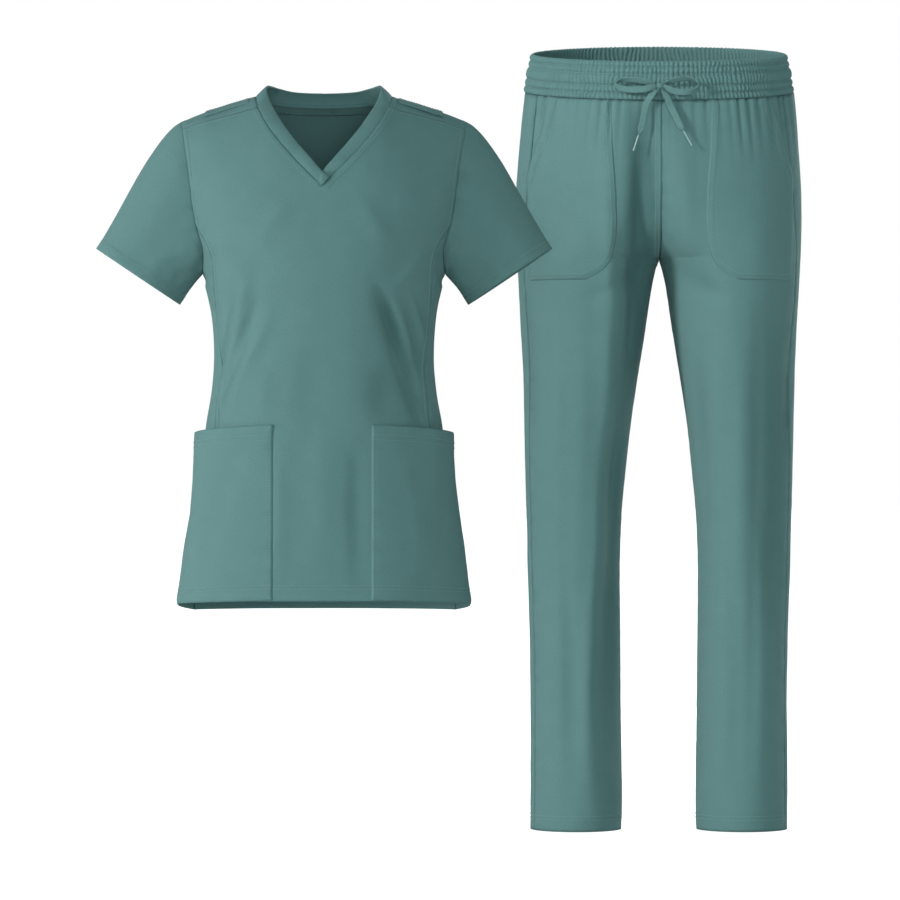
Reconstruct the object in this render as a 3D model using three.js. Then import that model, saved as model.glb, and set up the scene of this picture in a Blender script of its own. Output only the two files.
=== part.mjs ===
// Medical scrubs: a V-neck short-sleeved top and drawstring trousers, both hollow and open.
// Millimetres, +Z up, -Y towards the front. The origin is on the top's shoulder line.
import * as THREE from 'three';

const { lerp, clamp } = THREE.MathUtils;
const quarterTurn = Math.PI / 2;

// Cloth and seams
const clothWall = 1.6;
const bandWall = 2.2;
const patchWall = 1.3;
const seamGap = 0.5; // between two sewn edges
const layerGap = 0.8; // between a panel and what lies on it
const creaseLimit = 1.5; // how much thicker a wall may be where two pieces meet at an angle

// Top
const shoulderDrop = 130; // height over which the shoulder rounds off
const torsoPower = 2.25;
const hemCentre = -626;
const hemTilt = 0.065; // the back hem hangs lower than the front
const sideTop = -157; // where the side panels meet the armholes
const armpitDrop = 60; // from there down to the armpit
const sideRingTop = -232;
const sideColumns = 7;
const frontColumns = 10;
const backColumns = 8;
const sleeveRows = 6;

// Sleeve opening, seen from the front as a slanted ellipse
const cuff = { x: 231, z: -219, y: 4, along: 62.5, deep: 46, tipX: 0.83, tipZ: 0.557 };

// Trousers
const trousersX = 421;
const trousersY = 160;
const legHem = -914;
const crotch = -193;
const waistRise = 20;
const waistTilt = 0.17; // the waist is higher at the back
const waistFade = 60; // height over which the rows turn level below the waist
const sideSeamTurn = 0.42; // the side seams lie a little to the front
const legColumns = 9;
const gatherCount = 75;
const gatherHeight = 0.7;
const bandHeight = 48;

// Half width and depth of the top at each height
const torso = [
  { z: -640, half: 184, front: 119, back: 111 },
  { z: -560, half: 170, front: 116, back: 106 },
  { z: -500, half: 157.5, front: 113, back: 101 },
  { z: -450, half: 151, front: 111, back: 96 },
  { z: -407, half: 147, front: 110, back: 92 },
  { z: -362, half: 139.5, front: 109, back: 88 },
  { z: -317, half: 136.4, front: 111, back: 86 },
  { z: -265, half: 140, front: 118, back: 92 },
  { z: -226, half: 148.2, front: 123, back: 100 },
  { z: -190, half: 156, front: 124, back: 104 },
  { z: -157, half: 165, front: 122, back: 105 },
  { z: -105, half: 177, front: 110, back: 101 },
  { z: -60, half: 187, front: 99, back: 93 },
  { z: -10, half: 196, front: 92, back: 86 },
  { z: 30, half: 200, front: 88, back: 82 },
];

// Height of the shoulder ridge, and where the side seams and armholes run
const ridge = [
  { x: 0, z: 18 }, { x: 40, z: 16 }, { x: 70, z: 10 }, { x: 85, z: 4 }, { x: 101, z: -1.5 },
  { x: 129, z: -10.3 }, { x: 152, z: -17.5 }, { x: 180, z: -29 }, { x: 200, z: -38 },
];
const sideSeam = [
  { z: -640, x: 165 }, { z: -500, x: 142 }, { z: -409, x: 132 }, { z: -380, x: 128 },
  { z: -345, x: 125.5 }, { z: -305, x: 127.5 }, { z: -270, x: 131 }, { z: -232, x: 134 },
  { z: -200, x: 136 }, { z: -180, x: 143 }, { z: -157, x: 157 },
];
const armhole = [
  { z: -217, x: 150.5 }, { z: -190, x: 148.5 }, { z: -157, x: 157 }, { z: -138, x: 160.5 },
  { z: -98, x: 165.5 }, { z: -67, x: 170 }, { z: -40, x: 174.5 }, { z: -28, x: 178.5 },
];

// Heights of the rows up to the side panels' top, then the armhole samples of front and back
const torsoRows = [-585, -545, -500, -455, -407, -375, -345, -315, -285, -258, sideRingTop, -205, -180];
const frontArmhole = [sideTop, -133, -111, -98, -83, -69, -57, -46];
const backArmhole = [sideTop, -140, -122, -105, -89, -75, -63, -53, -45, -38.5, -33];
const frontCentre = [sideTop, -133];
const backCentre = [sideTop, -130, -103, -76, -50, -27];

// Neck seam and the neckband's free edge. Rows run from the V to the shoulder seam,
// over the ridge and round to the centre back; turn is +1 in front of the ridge.
const neckFront = [
  { x: 0, z: -111, edgeX: 0, edgeY: 3, edgeZ: -93 },
  { x: 10, z: -101, edgeX: 0, edgeY: 3, edgeZ: -93 },
  { x: 30, z: -81, edgeX: 18.5, edgeY: 4, edgeZ: -71 },
  { x: 45, z: -64.5, edgeX: 31.5, edgeY: 5, edgeZ: -56 },
  { x: 58.5, z: -48, edgeX: 44, edgeY: 6, edgeZ: -39.5 },
  { x: 72, z: -28, edgeX: 56.5, edgeY: 7, edgeZ: -20.5 },
  { x: 81, z: -11, edgeX: 65.5, edgeY: 7, edgeZ: -4 },
];
const neckRidge = [
  { x: 83.5, turn: 0.24, edgeX: 69.5, edgeY: 5, edgeZ: 11 },
  { x: 84.5, turn: 0, edgeX: 71.5, edgeY: 0, edgeZ: 17.5 },
];
const neckBack = [
  { x: 80, z: 3, edgeX: 69, edgeY: -3, edgeZ: 16.5 },
  { x: 66, z: -0.5, edgeX: 58.5, edgeY: -5, edgeZ: 13.5 },
  { x: 44, z: -3, edgeX: 40, edgeY: -5, edgeZ: 10.5 },
  { x: 22, z: -4, edgeX: 20.5, edgeY: -5, edgeZ: 8.8 },
  { x: 0, z: -4.5, edgeX: 0, edgeY: -5, edgeZ: 8 },
];

// Soft folds as straight ridges (height above 0) and troughs (below 0)
const torsoFrontFolds = [
  { x0: -137, z0: -404, x1: -100, z1: -290, width: 9, height: 3.5 },
  { x0: -128, z0: -390, x1: -78, z1: -205, width: 10, height: -3.5 },
  { x0: -116, z0: -400, x1: -62, z1: -262, width: 9, height: 2.5 },
  { x0: 70, z0: -236, x1: 100, z1: -320, width: 9, height: -4 },
  { x0: 98, z0: -315, x1: 124, z1: -405, width: 9, height: -5 },
  { x0: 86, z0: -240, x1: 112, z1: -320, width: 8, height: 3 },
  { x0: 112, z0: -330, x1: 134, z1: -400, width: 8, height: 3 },
  { x0: -73, z0: -330, x1: -76, z1: -398, width: 14, height: 2.5 },
  { x0: 76, z0: -330, x1: 70, z1: -398, width: 14, height: -2.5 },
];
const torsoBackFolds = [
  { x0: -110, z0: -240, x1: -45, z1: -330, width: 12, height: -3.5 },
  { x0: 108, z0: -250, x1: 40, z1: -325, width: 12, height: -3 },
  { x0: -122, z0: -290, x1: -50, z1: -362, width: 10, height: 3 },
  { x0: 60, z0: -350, x1: 82, z1: -520, width: 16, height: 3 },
  { x0: -62, z0: -370, x1: -80, z1: -530, width: 16, height: 2.5 },
];
const legFrontFolds = [
  { x0: -55, z0: -45, x1: -50, z1: -250, width: 14, height: -3.5 },
  { x0: -49, z0: -250, x1: -66, z1: -560, width: 14, height: -4.5 },
  { x0: -74, z0: -560, x1: -84, z1: -800, width: 12, height: -3 },
  { x0: -100, z0: -260, x1: -105, z1: -700, width: 14, height: 2.5 },
  { x0: 150, z0: -240, x1: 140, z1: -700, width: 14, height: -4 },
  { x0: 70, z0: -300, x1: 66, z1: -600, width: 12, height: 2.5 },
  { x0: 14, z0: -196, x1: 84, z1: -246, width: 14, height: -2.5 },
  { x0: -14, z0: -196, x1: -84, z1: -246, width: 14, height: -2.5 },
];
const legBackFolds = [
  { x0: 20, z0: -215, x1: 100, z1: -275, width: 18, height: -3.5 },
  { x0: -20, z0: -215, x1: -100, z1: -275, width: 18, height: -3.5 },
  { x0: 115, z0: -300, x1: 108, z1: -650, width: 15, height: -3 },
  { x0: -112, z0: -320, x1: -104, z1: -690, width: 15, height: -3.5 },
];

// Outer and inner edge of each leg, its depth, and how far its centre has left the middle
const leg = [
  { z: -920, outer: 162.5, inner: 48, front: 71, back: 73, apart: 1 },
  { z: -878, outer: 163, inner: 46.5, front: 70, back: 72, apart: 1 },
  { z: -751, outer: 162.4, inner: 48.2, front: 68, back: 70, apart: 1 },
  { z: -675, outer: 163.6, inner: 48.8, front: 67, back: 69, apart: 1 },
  { z: -589, outer: 166.2, inner: 49.5, front: 67, back: 70, apart: 1 },
  { z: -513, outer: 168, inner: 47, front: 69, back: 73, apart: 1 },
  { z: -452, outer: 170, inner: 41.2, front: 72, back: 77, apart: 1 },
  { z: -391, outer: 171.2, inner: 34.2, front: 77, back: 83, apart: 1 },
  { z: -330, outer: 172.5, inner: 24.8, front: 83, back: 91, apart: 1 },
  { z: -269, outer: 175.6, inner: 15.2, front: 89, back: 100, apart: 1 },
  { z: -231, outer: 177.6, inner: 9.5, front: 94, back: 106, apart: 1 },
  { z: -205, outer: 179, inner: 4, front: 98, back: 111, apart: 1 },
  { z: -193, outer: 179.5, inner: 0, front: 100, back: 113, apart: 1 },
  { z: -188, outer: 179.8, inner: 0, front: 101, back: 114, apart: 0.84 },
  { z: -178, outer: 180.2, inner: 0, front: 102, back: 115, apart: 0.66 },
  { z: -160, outer: 180.6, inner: 0, front: 104, back: 117, apart: 0.44 },
  { z: -135, outer: 181, inner: 0, front: 105, back: 118, apart: 0.24 },
  { z: -105, outer: 180.7, inner: 0, front: 106, back: 117, apart: 0.1 },
  { z: -69, outer: 178.5, inner: 0, front: 104, back: 112, apart: 0.02 },
  { z: -28, outer: 174, inner: 0, front: 100, back: 104, apart: 0 },
  { z: 5, outer: 169, inner: 0, front: 96, back: 98, apart: 0 },
  { z: 40, outer: 165, inner: 0, front: 94, back: 96, apart: 0 },
];
const legRows = [
  0, -18, -40, -69, -105, -135, -160, -178, -188, crotch, -205, -231, -269, -330, -391,
  -452, -520, -600, -690, -790, -880, legHem,
];

// Waistband: sewn rows and the crests of its five channels, from the leg seam to the top edge
const waistProfile = [
  { rise: 0, out: 0 }, { rise: 0.09, out: 2 }, { rise: 0.18, out: 0.2 }, { rise: 0.27, out: 2 },
  { rise: 0.37, out: 0.2 }, { rise: 0.52, out: 2.8 }, { rise: 0.67, out: 0.2 },
  { rise: 0.76, out: 2 }, { rise: 0.85, out: 0.2 }, { rise: 0.93, out: 1.9 }, { rise: 1, out: 0 },
];
const waistLean = 9; // how far the band leans in at its top

// Patch pockets of the trousers: edges at each height, x from the middle
const trouserPocketRows = [
  { z: -6, inner: 63, outer: 139 },
  { z: -25, inner: 62, outer: 146 },
  { z: -48, inner: 61, outer: 154 },
  { z: -69, inner: 59.5, outer: 162 },
  { z: -95, inner: 57.5, outer: 168 },
  { z: -125, inner: 56, outer: 168 },
  { z: -155, inner: 56, outer: 168 },
  { z: -178, inner: 59, outer: 167 },
  { z: -197, inner: 66, outer: 166 },
  { z: -211, inner: 78, outer: 165 },
  { z: -221, inner: 96, outer: 164 },
];
const trouserPocketColumns = 7;

// Pockets of the top, by fractions across and down
const topPocket = { inner: 60, top: -403, sag: 16, gape: 12, columns: 9, rows: 7, wrapTop: -0.42, wrapHem: -0.05 };

// Flat drawstring. Points are x and z across the waistband's front, lift is how far it stands off.
const cordWidth = 8;
const cordThick = 1.5;
const bandProud = 3.5; // how far the gathered band and the leg cloth stand out under the cord
const legProud = 0.6;
const knot = { x: -3, z: 21.5, lift: 5.6, wide: 9, high: 6.5, deep: 5 };
const loopLeft = [
  { x: -7.9, z: 21.3, lift: 5.6 }, { x: -22, z: 17.5, lift: 7 }, { x: -40, z: 18, lift: 8 },
  { x: -53, z: 21, lift: 7 }, { x: -58, z: 24, lift: 4.5 }, { x: -52, z: 27, lift: 2.2 },
  { x: -36, z: 28, lift: 1.4 }, { x: -20, z: 25.5, lift: 1.3 }, { x: -9.5, z: 23.5, lift: 1.3 },
];
const loopRight = [
  { x: 1.9, z: 21.3, lift: 5.6 }, { x: 14, z: 16.5, lift: 7 }, { x: 28, z: 16, lift: 8 },
  { x: 40, z: 18, lift: 7 }, { x: 45.5, z: 21.5, lift: 4.5 }, { x: 39, z: 25.5, lift: 2.2 },
  { x: 27, z: 27.5, lift: 1.4 }, { x: 13, z: 26, lift: 1.3 }, { x: 3.5, z: 23.5, lift: 1.3 },
];
const tailLeft = [
  { x: -7, z: 15.5, lift: 3.6 }, { x: -14.5, z: 7.5, lift: 1.6 }, { x: -19.5, z: -2, lift: 1.6 },
  { x: -22.5, z: -15, lift: 1.5 }, { x: -25, z: -28, lift: 1.5 }, { x: -29, z: -40, lift: 1.7 },
];
const tailRight = [
  { x: 1, z: 15, lift: 3.6 }, { x: 6.5, z: 6.5, lift: 1.6 }, { x: 11, z: -4, lift: 1.6 },
  { x: 16.5, z: -15, lift: 1.5 }, { x: 21, z: -25, lift: 1.5 }, { x: 27, z: -35.5, lift: 1.7 },
];
const tip = { radius: 1.1, long: 21, gap: 0.4 };

// Value of one column of a table, read smoothly between its rows, which rise in the key column
function read(table, key, at, column) {
  const last = table.length - 1;
  if (at <= table[0][key]) return table[0][column];
  if (at >= table[last][key]) return table[last][column];
  const i = table.findIndex((row) => row[key] > at) - 1;
  const slope = (j) => {
    const before = table[Math.max(j - 1, 0)];
    const after = table[Math.min(j + 1, last)];
    return (after[column] - before[column]) / (after[key] - before[key]);
  };
  const span = table[i + 1][key] - table[i][key];
  const t = (at - table[i][key]) / span;
  const rise = table[i + 1][column] - table[i][column];
  return table[i][column] + rise * t * t * (3 - 2 * t)
    + span * (slope(i) * t * (1 - t) ** 2 - slope(i + 1) * t * t * (1 - t));
}

// Height of all folds at a point: each is a bell across its line, fading out at both ends
function foldHeight(folds, x, z) {
  let total = 0;
  for (const fold of folds) {
    const alongX = fold.x1 - fold.x0;
    const alongZ = fold.z1 - fold.z0;
    const length = Math.hypot(alongX, alongZ);
    const t = ((x - fold.x0) * alongX + (z - fold.z0) * alongZ) / length ** 2;
    const across = ((x - fold.x0) * alongZ - (z - fold.z0) * alongX) / length;
    const ends = clamp(1.25 - Math.abs(t - 0.5) * 2, 0, 1);
    total += fold.height * Math.exp(-((across / fold.width) ** 2)) * ends * ends * (3 - 2 * ends);
  }
  return total;
}

// Moves a point of an upright tube outwards by the folds of its front and back
function withFolds(point, half, depth, frontFolds, backFolds) {
  const frontShare = clamp(0.5 - point.y / 40, 0, 1);
  const height = foldHeight(frontFolds, point.x, point.z) * frontShare
    + foldHeight(backFolds, point.x, point.z) * (1 - frontShare);
  const outward = new THREE.Vector3(point.x / half ** 2, point.y / depth ** 2, 0);
  return outward.lengthSq() === 0 ? point : point.addScaledVector(outward.normalize(), height);
}

// One piece of cloth: a surface of triangles that share their points
class Cloth {
  constructor(name, wall) {
    this.name = name;
    this.wall = wall;
    this.points = [];
    this.faces = [];
    this.lookup = new Map();
  }

  static key(point) {
    return `${Math.round(point.x * 200)},${Math.round(point.y * 200)},${Math.round(point.z * 200)}`;
  }

  add(point) {
    const key = Cloth.key(point);
    if (!this.lookup.has(key)) {
      this.lookup.set(key, this.points.length);
      this.points.push(point.clone());
    }
    return this.lookup.get(key);
  }

  addFace(a, b, c, turned) {
    if (a === b || b === c || c === a) return;
    this.faces.push(turned ? [a, c, b] : [a, b, c]);
  }

  // Rows of points; turned swaps which side of the cloth is the outside
  addGrid(rows, turned) {
    const ids = rows.map((row) => row.map((point) => this.add(point)));
    for (let j = 0; j < ids.length - 1; j += 1) {
      for (let i = 0; i < ids[j].length - 1; i += 1) {
        this.addFace(ids[j][i], ids[j][i + 1], ids[j + 1][i + 1], turned);
        this.addFace(ids[j][i], ids[j + 1][i + 1], ids[j + 1][i], turned);
      }
    }
    return this;
  }

  normals() {
    const sums = this.points.map(() => new THREE.Vector3());
    for (const [a, b, c] of this.faces) {
      const side = this.points[b].clone().sub(this.points[a]);
      const normal = side.cross(this.points[c].clone().sub(this.points[a]));
      [a, b, c].forEach((id) => sums[id].add(normal));
    }
    return sums.map((sum) => sum.normalize());
  }

  // Edges that only one face uses, in that face's direction
  border() {
    const edges = new Map();
    for (const [a, b, c] of this.faces) {
      [[a, b], [b, c], [c, a]].forEach(([from, to]) => edges.set(`${from},${to}`, [from, to]));
    }
    return [...edges.values()].filter(([from, to]) => !edges.has(`${to},${from}`));
  }

  // Closed body: the outer face, an inner face one wall inside it, and the edges between them
  solid(shared) {
    const own = this.normals();
    const border = this.border();
    const inward = this.points.map(() => new THREE.Vector3());
    for (const [from, to] of border) {
      const normal = own[from].clone().add(own[to]);
      const step = normal.cross(this.points[to].clone().sub(this.points[from])).normalize();
      inward[from].add(step);
      inward[to].add(step);
    }
    const outer = this.points.map((point, id) => {
      const size = inward[id].length();
      const shift = size > 0 ? seamGap / 2 / Math.max(size / 2, 0.4) / size : 0;
      return point.clone().addScaledVector(inward[id], shift);
    });
    const inner = outer.map((point, id) => {
      const normal = (shared && shared.get(Cloth.key(this.points[id]))) || own[id];
      const depth = this.wall / Math.max(normal.dot(own[id]), 1 / creaseLimit);
      return point.clone().addScaledVector(normal, -depth);
    });
    const count = outer.length;
    const faces = [...this.faces];
    this.faces.forEach(([a, b, c]) => faces.push([a + count, c + count, b + count]));
    border.forEach(([from, to]) => {
      faces.push([to, from, from + count], [to, from + count, to + count]);
    });
    return closedGeometry([...outer, ...inner], faces);
  }
}

function closedGeometry(points, faces) {
  const geometry = new THREE.BufferGeometry();
  const numbers = points.flatMap((point) => [point.x, point.y, point.z]);
  geometry.setAttribute('position', new THREE.Float32BufferAttribute(numbers, 3));
  geometry.setIndex(faces.flat());
  geometry.computeVertexNormals();
  return geometry;
}

// Normals of pieces sewn together, averaged where their edges meet
function sharedNormals(cloths) {
  const sums = new Map();
  for (const cloth of cloths) {
    cloth.normals().forEach((normal, id) => {
      const key = Cloth.key(cloth.points[id]);
      if (!sums.has(key)) sums.set(key, new THREE.Vector3());
      sums.get(key).add(normal);
    });
  }
  sums.forEach((sum) => sum.normalize());
  return sums;
}

// Rows of points moved along the outside normal of the surface that they lie on
function liftedRows(surface, rows, lift) {
  const step = 0.5;
  return rows.map((row) => row.map(({ u, v, more = 0 }) => {
    const point = surface(u, v);
    const alongU = surface(u + step, v).sub(surface(u - step, v));
    const alongV = surface(u, v + step).sub(surface(u, v - step));
    return point.addScaledVector(alongU.cross(alongV).normalize(), lift + more);
  }));
}

// Top: a point by its distance from the middle and its turn over the shoulder.
// The turn is 0 on the ridge, positive in front, and runs straight down past a quarter turn.
function torsoPoint(x, turn) {
  const size = Math.abs(turn);
  const fall = size < quarterTurn ? 1 - Math.cos(size) : 1 + size - quarterTurn;
  const swell = size < quarterTurn ? Math.sin(size) : 1;
  const z = read(ridge, 'x', Math.abs(x), 'z') - shoulderDrop * fall;
  const half = read(torso, 'z', z, 'half');
  const depth = read(torso, 'z', z, turn > 0 ? 'front' : 'back');
  const round = (1 - clamp(Math.abs(x) / half, 0, 1) ** torsoPower) ** (1 / torsoPower);
  const y = (turn > 0 ? -1 : 1) * depth * round * swell;
  return withFolds(new THREE.Vector3(x, y, z), half, depth, torsoFrontFolds, torsoBackFolds);
}

function turnAt(x, z, face) {
  const fall = (read(ridge, 'x', Math.abs(x), 'z') - z) / shoulderDrop;
  return face * (fall < 1 ? Math.acos(1 - Math.max(fall, 0)) : quarterTurn + fall - 1);
}

// Top: a point of the upright tube below the armpits, by its angle from the side
function ringPoint(side, angle, z) {
  const half = read(torso, 'z', z, 'half');
  const depth = read(torso, 'z', z, angle > 0 ? 'front' : 'back');
  const power = 2 / torsoPower;
  const x = side * half * Math.cos(angle) ** power;
  const y = -Math.sign(angle) * depth * Math.abs(Math.sin(angle)) ** power;
  return withFolds(new THREE.Vector3(x, y, z), half, depth, torsoFrontFolds, torsoBackFolds);
}

function ringAngle(x, z) {
  const share = clamp(x / read(torso, 'z', z, 'half'), 0, 1);
  return Math.acos(share ** (torsoPower / 2));
}

const hemHeight = (face) => hemCentre + hemTilt * face * 112;

// Columns crowd towards the sides, where the body turns away
const sideCrowding = 1.35;
const crowded = (share) => Math.sin(share * sideCrowding) / Math.sin(sideCrowding);

// Level rows of one half of the front (face 1) or back (face -1), from the hem to the side's top
function levelRows(side, face, columns, heights) {
  return heights.map((height) => {
    const edge = read(sideSeam, 'z', height, 'x');
    return Array.from({ length: columns + 1 }, (_, i) => {
      const x = side * edge * crowded(i / columns);
      return torsoPoint(x, turnAt(x, height, face));
    });
  });
}

const bodyHeights = (face) => [hemHeight(face), ...torsoRows, sideTop];

const neckTurn = (row, face) => ('turn' in row ? row.turn : turnAt(row.x, row.z, face));

// Rows between an inner edge (centre line and neck) and an outer edge (armhole).
// They go by height, and by turn where an end lies on or over the ridge.
function fanRows(side, face, inner, outer, columns) {
  return inner.map((start, j) => Array.from({ length: columns + 1 }, (_, i) => {
    const end = outer[j];
    const share = crowded(i / columns);
    const x = lerp(start.x, end.x, share);
    const turn = start.over || end.over
      ? lerp(start.turn, end.turn, share)
      : turnAt(x, lerp(start.z, end.z, share), face);
    return torsoPoint(side * x, turn);
  }));
}

const sample = (x, z, face) => ({ x, z, turn: turnAt(x, z, face) });
const shoulderEnd = { x: 174.5, turn: 0.4, over: true };
const neckEnd = neckFront[neckFront.length - 1];

const frontOuter = [...frontArmhole.map((z) => sample(read(armhole, 'z', z, 'x'), z, 1)), shoulderEnd];
const backOuter = [
  ...backArmhole.map((z) => sample(read(armhole, 'z', z, 'x'), z, -1)),
  { x: 178.5, turn: 0, over: true }, { x: 176.5, turn: 0.2, over: true }, shoulderEnd,
];
const frontInner = [
  ...frontCentre.map((z) => sample(0, z, 1)),
  ...neckFront.map((row) => sample(row.x, row.z, 1)),
];
const backInner = [
  ...backCentre.map((z) => sample(0, z, -1)),
  ...[...neckBack].reverse().map((row) => sample(row.x, row.z, -1)),
  ...[...neckRidge].reverse().map((row) => ({ x: row.x, turn: row.turn, over: true })),
  sample(neckEnd.x, neckEnd.z, 1),
];

function makeFront() {
  const cloth = new Cloth('top_front', clothWall);
  for (const side of [-1, 1]) {
    cloth.addGrid(levelRows(side, 1, frontColumns, bodyHeights(1)), side < 0);
    cloth.addGrid(fanRows(side, 1, frontInner, frontOuter, frontColumns), side < 0);
  }
  return cloth;
}

function makeBack() {
  const cloth = new Cloth('top_back', clothWall);
  for (const side of [-1, 1]) {
    cloth.addGrid(levelRows(side, -1, backColumns, bodyHeights(-1)), side > 0);
    cloth.addGrid(fanRows(side, -1, backInner, backOuter, backColumns), side > 0);
  }
  return cloth;
}

// Lower part of the armhole, from the front over the armpit to the back
function armpitCurve(side) {
  const x = read(armhole, 'z', sideTop, 'x');
  const front = torsoPoint(side * x, turnAt(x, sideTop, 1));
  const back = torsoPoint(side * x, turnAt(x, sideTop, -1));
  return Array.from({ length: sideColumns + 1 }, (_, k) => {
    if (k === 0) return front;
    if (k === sideColumns) return back;
    const angle = (Math.PI * k) / sideColumns;
    const z = sideTop - armpitDrop * Math.sin(angle);
    const y = lerp(front.y, back.y, (1 - Math.cos(angle)) / 2);
    return new THREE.Vector3(side * read(armhole, 'z', z, 'x'), y, z);
  });
}

function makeSidePanel(side, name) {
  const curve = armpitCurve(side);
  const sideRow = (height) => Array.from({ length: sideColumns + 1 }, (_, k) => {
    const share = k / sideColumns;
    const z = height === undefined ? lerp(hemHeight(1), hemHeight(-1), share) : height;
    const x = read(sideSeam, 'z', z, 'x');
    if (k === 0) return torsoPoint(side * x, turnAt(x, z, 1));
    if (k === sideColumns) return torsoPoint(side * x, turnAt(x, z, -1));
    const angle = ringAngle(x, z);
    return ringPoint(side, lerp(angle, -angle, share), z);
  });
  const rows = [sideRow(undefined), ...torsoRows.filter((z) => z <= sideRingTop).map(sideRow)];
  const top = rows[rows.length - 1];
  for (const height of [...torsoRows.filter((z) => z > sideRingTop), sideTop]) {
    const share = (height - sideRingTop) / (sideTop - sideRingTop);
    const edges = sideRow(height);
    rows.push(top.map((point, k) => {
      if (k === 0 || k === sideColumns) return height === sideTop ? curve[k] : edges[k];
      return point.clone().lerp(curve[k], share);
    }));
  }
  return new Cloth(name, clothWall).addGrid(rows, side < 0);
}

// Sleeve: from each armhole point a smooth path to the matching point of the cuff
function makeSleeve(side, name) {
  const at = (place) => torsoPoint(side * place.x, place.turn);
  const back = backOuter.slice(0, -1).map(at).reverse();
  const front = frontOuter.map(at).reverse();
  const lower = armpitCurve(side);
  const ring = [...front, ...lower.slice(1, -1), ...back.reverse()];
  const topId = ring.length - 2;
  const bottomId = front.length - 1 + Math.round(sideColumns / 2);
  const lengths = ring.map((point, id) => point.distanceTo(ring[(id + 1) % ring.length]));
  const walk = (from, to) => {
    let sum = 0;
    for (let id = from; id !== to; id = (id + 1) % ring.length) sum += lengths[id];
    return sum;
  };
  const frontLength = walk(topId, bottomId);
  const backLength = walk(bottomId, topId);
  const cuffPoint = (angle) => {
    const reach = Math.cos(angle) * cuff.along;
    const x = side * (cuff.x + reach * cuff.tipX);
    return new THREE.Vector3(x, cuff.y - Math.sin(angle) * cuff.deep, cuff.z + reach * cuff.tipZ);
  };
  const columns = ring.map((start, id) => {
    const isFront = walk(topId, id) <= frontLength;
    const angle = isFront
      ? (Math.PI * walk(topId, id)) / frontLength
      : Math.PI * (1 + walk(bottomId, id) / backLength);
    const end = cuffPoint(angle);
    const size = start.distanceTo(end);
    const high = (1 + Math.cos(angle)) / 2;
    const leave = new THREE.Vector3(side * lerp(0.62, 0.55, high), 0, -lerp(0.62, 0.3, high));
    const arrive = new THREE.Vector3(side * cuff.tipZ, 0, -cuff.tipX).multiplyScalar(lerp(1, 0.95, high));
    return { start, end, leave: leave.multiplyScalar(size), arrive: arrive.multiplyScalar(size) };
  });
  columns.push(columns[0]);
  const rows = Array.from({ length: sleeveRows + 1 }, (_, j) => {
    const t = j / sleeveRows;
    return columns.map(({ start, end, leave, arrive }) => start.clone()
      .multiplyScalar((1 + 2 * t) * (1 - t) ** 2)
      .addScaledVector(end, t * t * (3 - 2 * t))
      .addScaledVector(leave, t * (1 - t) ** 2)
      .addScaledVector(arrive, -t * t * (1 - t)));
  });
  return new Cloth(name, clothWall).addGrid(rows, side < 0);
}

// Neckband: one strip round the neck whose ends meet beside the V
function makeNeckband() {
  const cloth = new Cloth('neckband', bandWall);
  const strip = (side, row, face) => {
    const seam = torsoPoint(side * row.x, neckTurn(row, face));
    const edge = new THREE.Vector3(side * row.edgeX, seam.y + row.edgeY, row.edgeZ);
    const middle = seam.clone().lerp(edge, 0.5).add(new THREE.Vector3(0, -0.8 * face, 0.3));
    return [seam, middle, edge];
  };
  const half = (side) => [
    ...neckFront.map((row) => strip(side, row, 1)),
    ...neckRidge.map((row) => strip(side, row, 1)),
    ...neckBack.map((row) => strip(side, row, -1)),
  ];
  const left = half(-1);
  const right = half(1);
  cloth.addGrid([right[1], ...left], false);
  const apart = new THREE.Vector3(0.02, 0, 0.02); // keeps the two ends from being joined
  const rightEnd = right[1].map((point) => point.clone().add(apart));
  cloth.addGrid([rightEnd, ...right.slice(2)], true);
  return cloth;
}

// Strip sewn inside the back neck, below the band
function makeNeckTape() {
  const tape = { half: 76, high: 8, drop: 2, gap: 1.7, wall: 1, columns: 14 };
  const surface = (x, z) => torsoPoint(x, turnAt(x, z, -1));
  const topEdge = neckBack.map((row) => ({ x: row.x, z: row.z })).reverse();
  const rows = [0, 1].map((down) => Array.from({ length: tape.columns + 1 }, (_, i) => {
    const x = lerp(-tape.half, tape.half, i / tape.columns);
    return { u: x, v: read(topEdge, 'x', Math.abs(x), 'z') - tape.drop - down * tape.high };
  }));
  const lifted = liftedRows(surface, rows, clothWall + tape.gap);
  return new Cloth('neck_tape', tape.wall).addGrid(lifted, false);
}

// Badge loop laid along the shoulder, behind the forward seam
function makeShoulderLoop(side, name) {
  const loop = { from: 92, to: 147, front: 0.33, back: 0.02, columns: 7, rows: 3, gap: 0.9, crown: 1.2 };
  const surface = (x, turn) => torsoPoint(x, turn / 100);
  const rows = Array.from({ length: loop.rows + 1 }, (_, j) => (
    Array.from({ length: loop.columns + 1 }, (_unused, i) => {
      const share = i / loop.columns;
      const more = -loop.crown * Math.sin(Math.PI * share);
      const turn = lerp(loop.back, loop.front, j / loop.rows);
      return { u: side * lerp(loop.from, loop.to, share), v: turn * 100, more };
    })));
  const lifted = liftedRows(surface, rows, -(loop.gap + patchWall));
  return new Cloth(name, patchWall).addGrid(lifted, side > 0);
}

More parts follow.
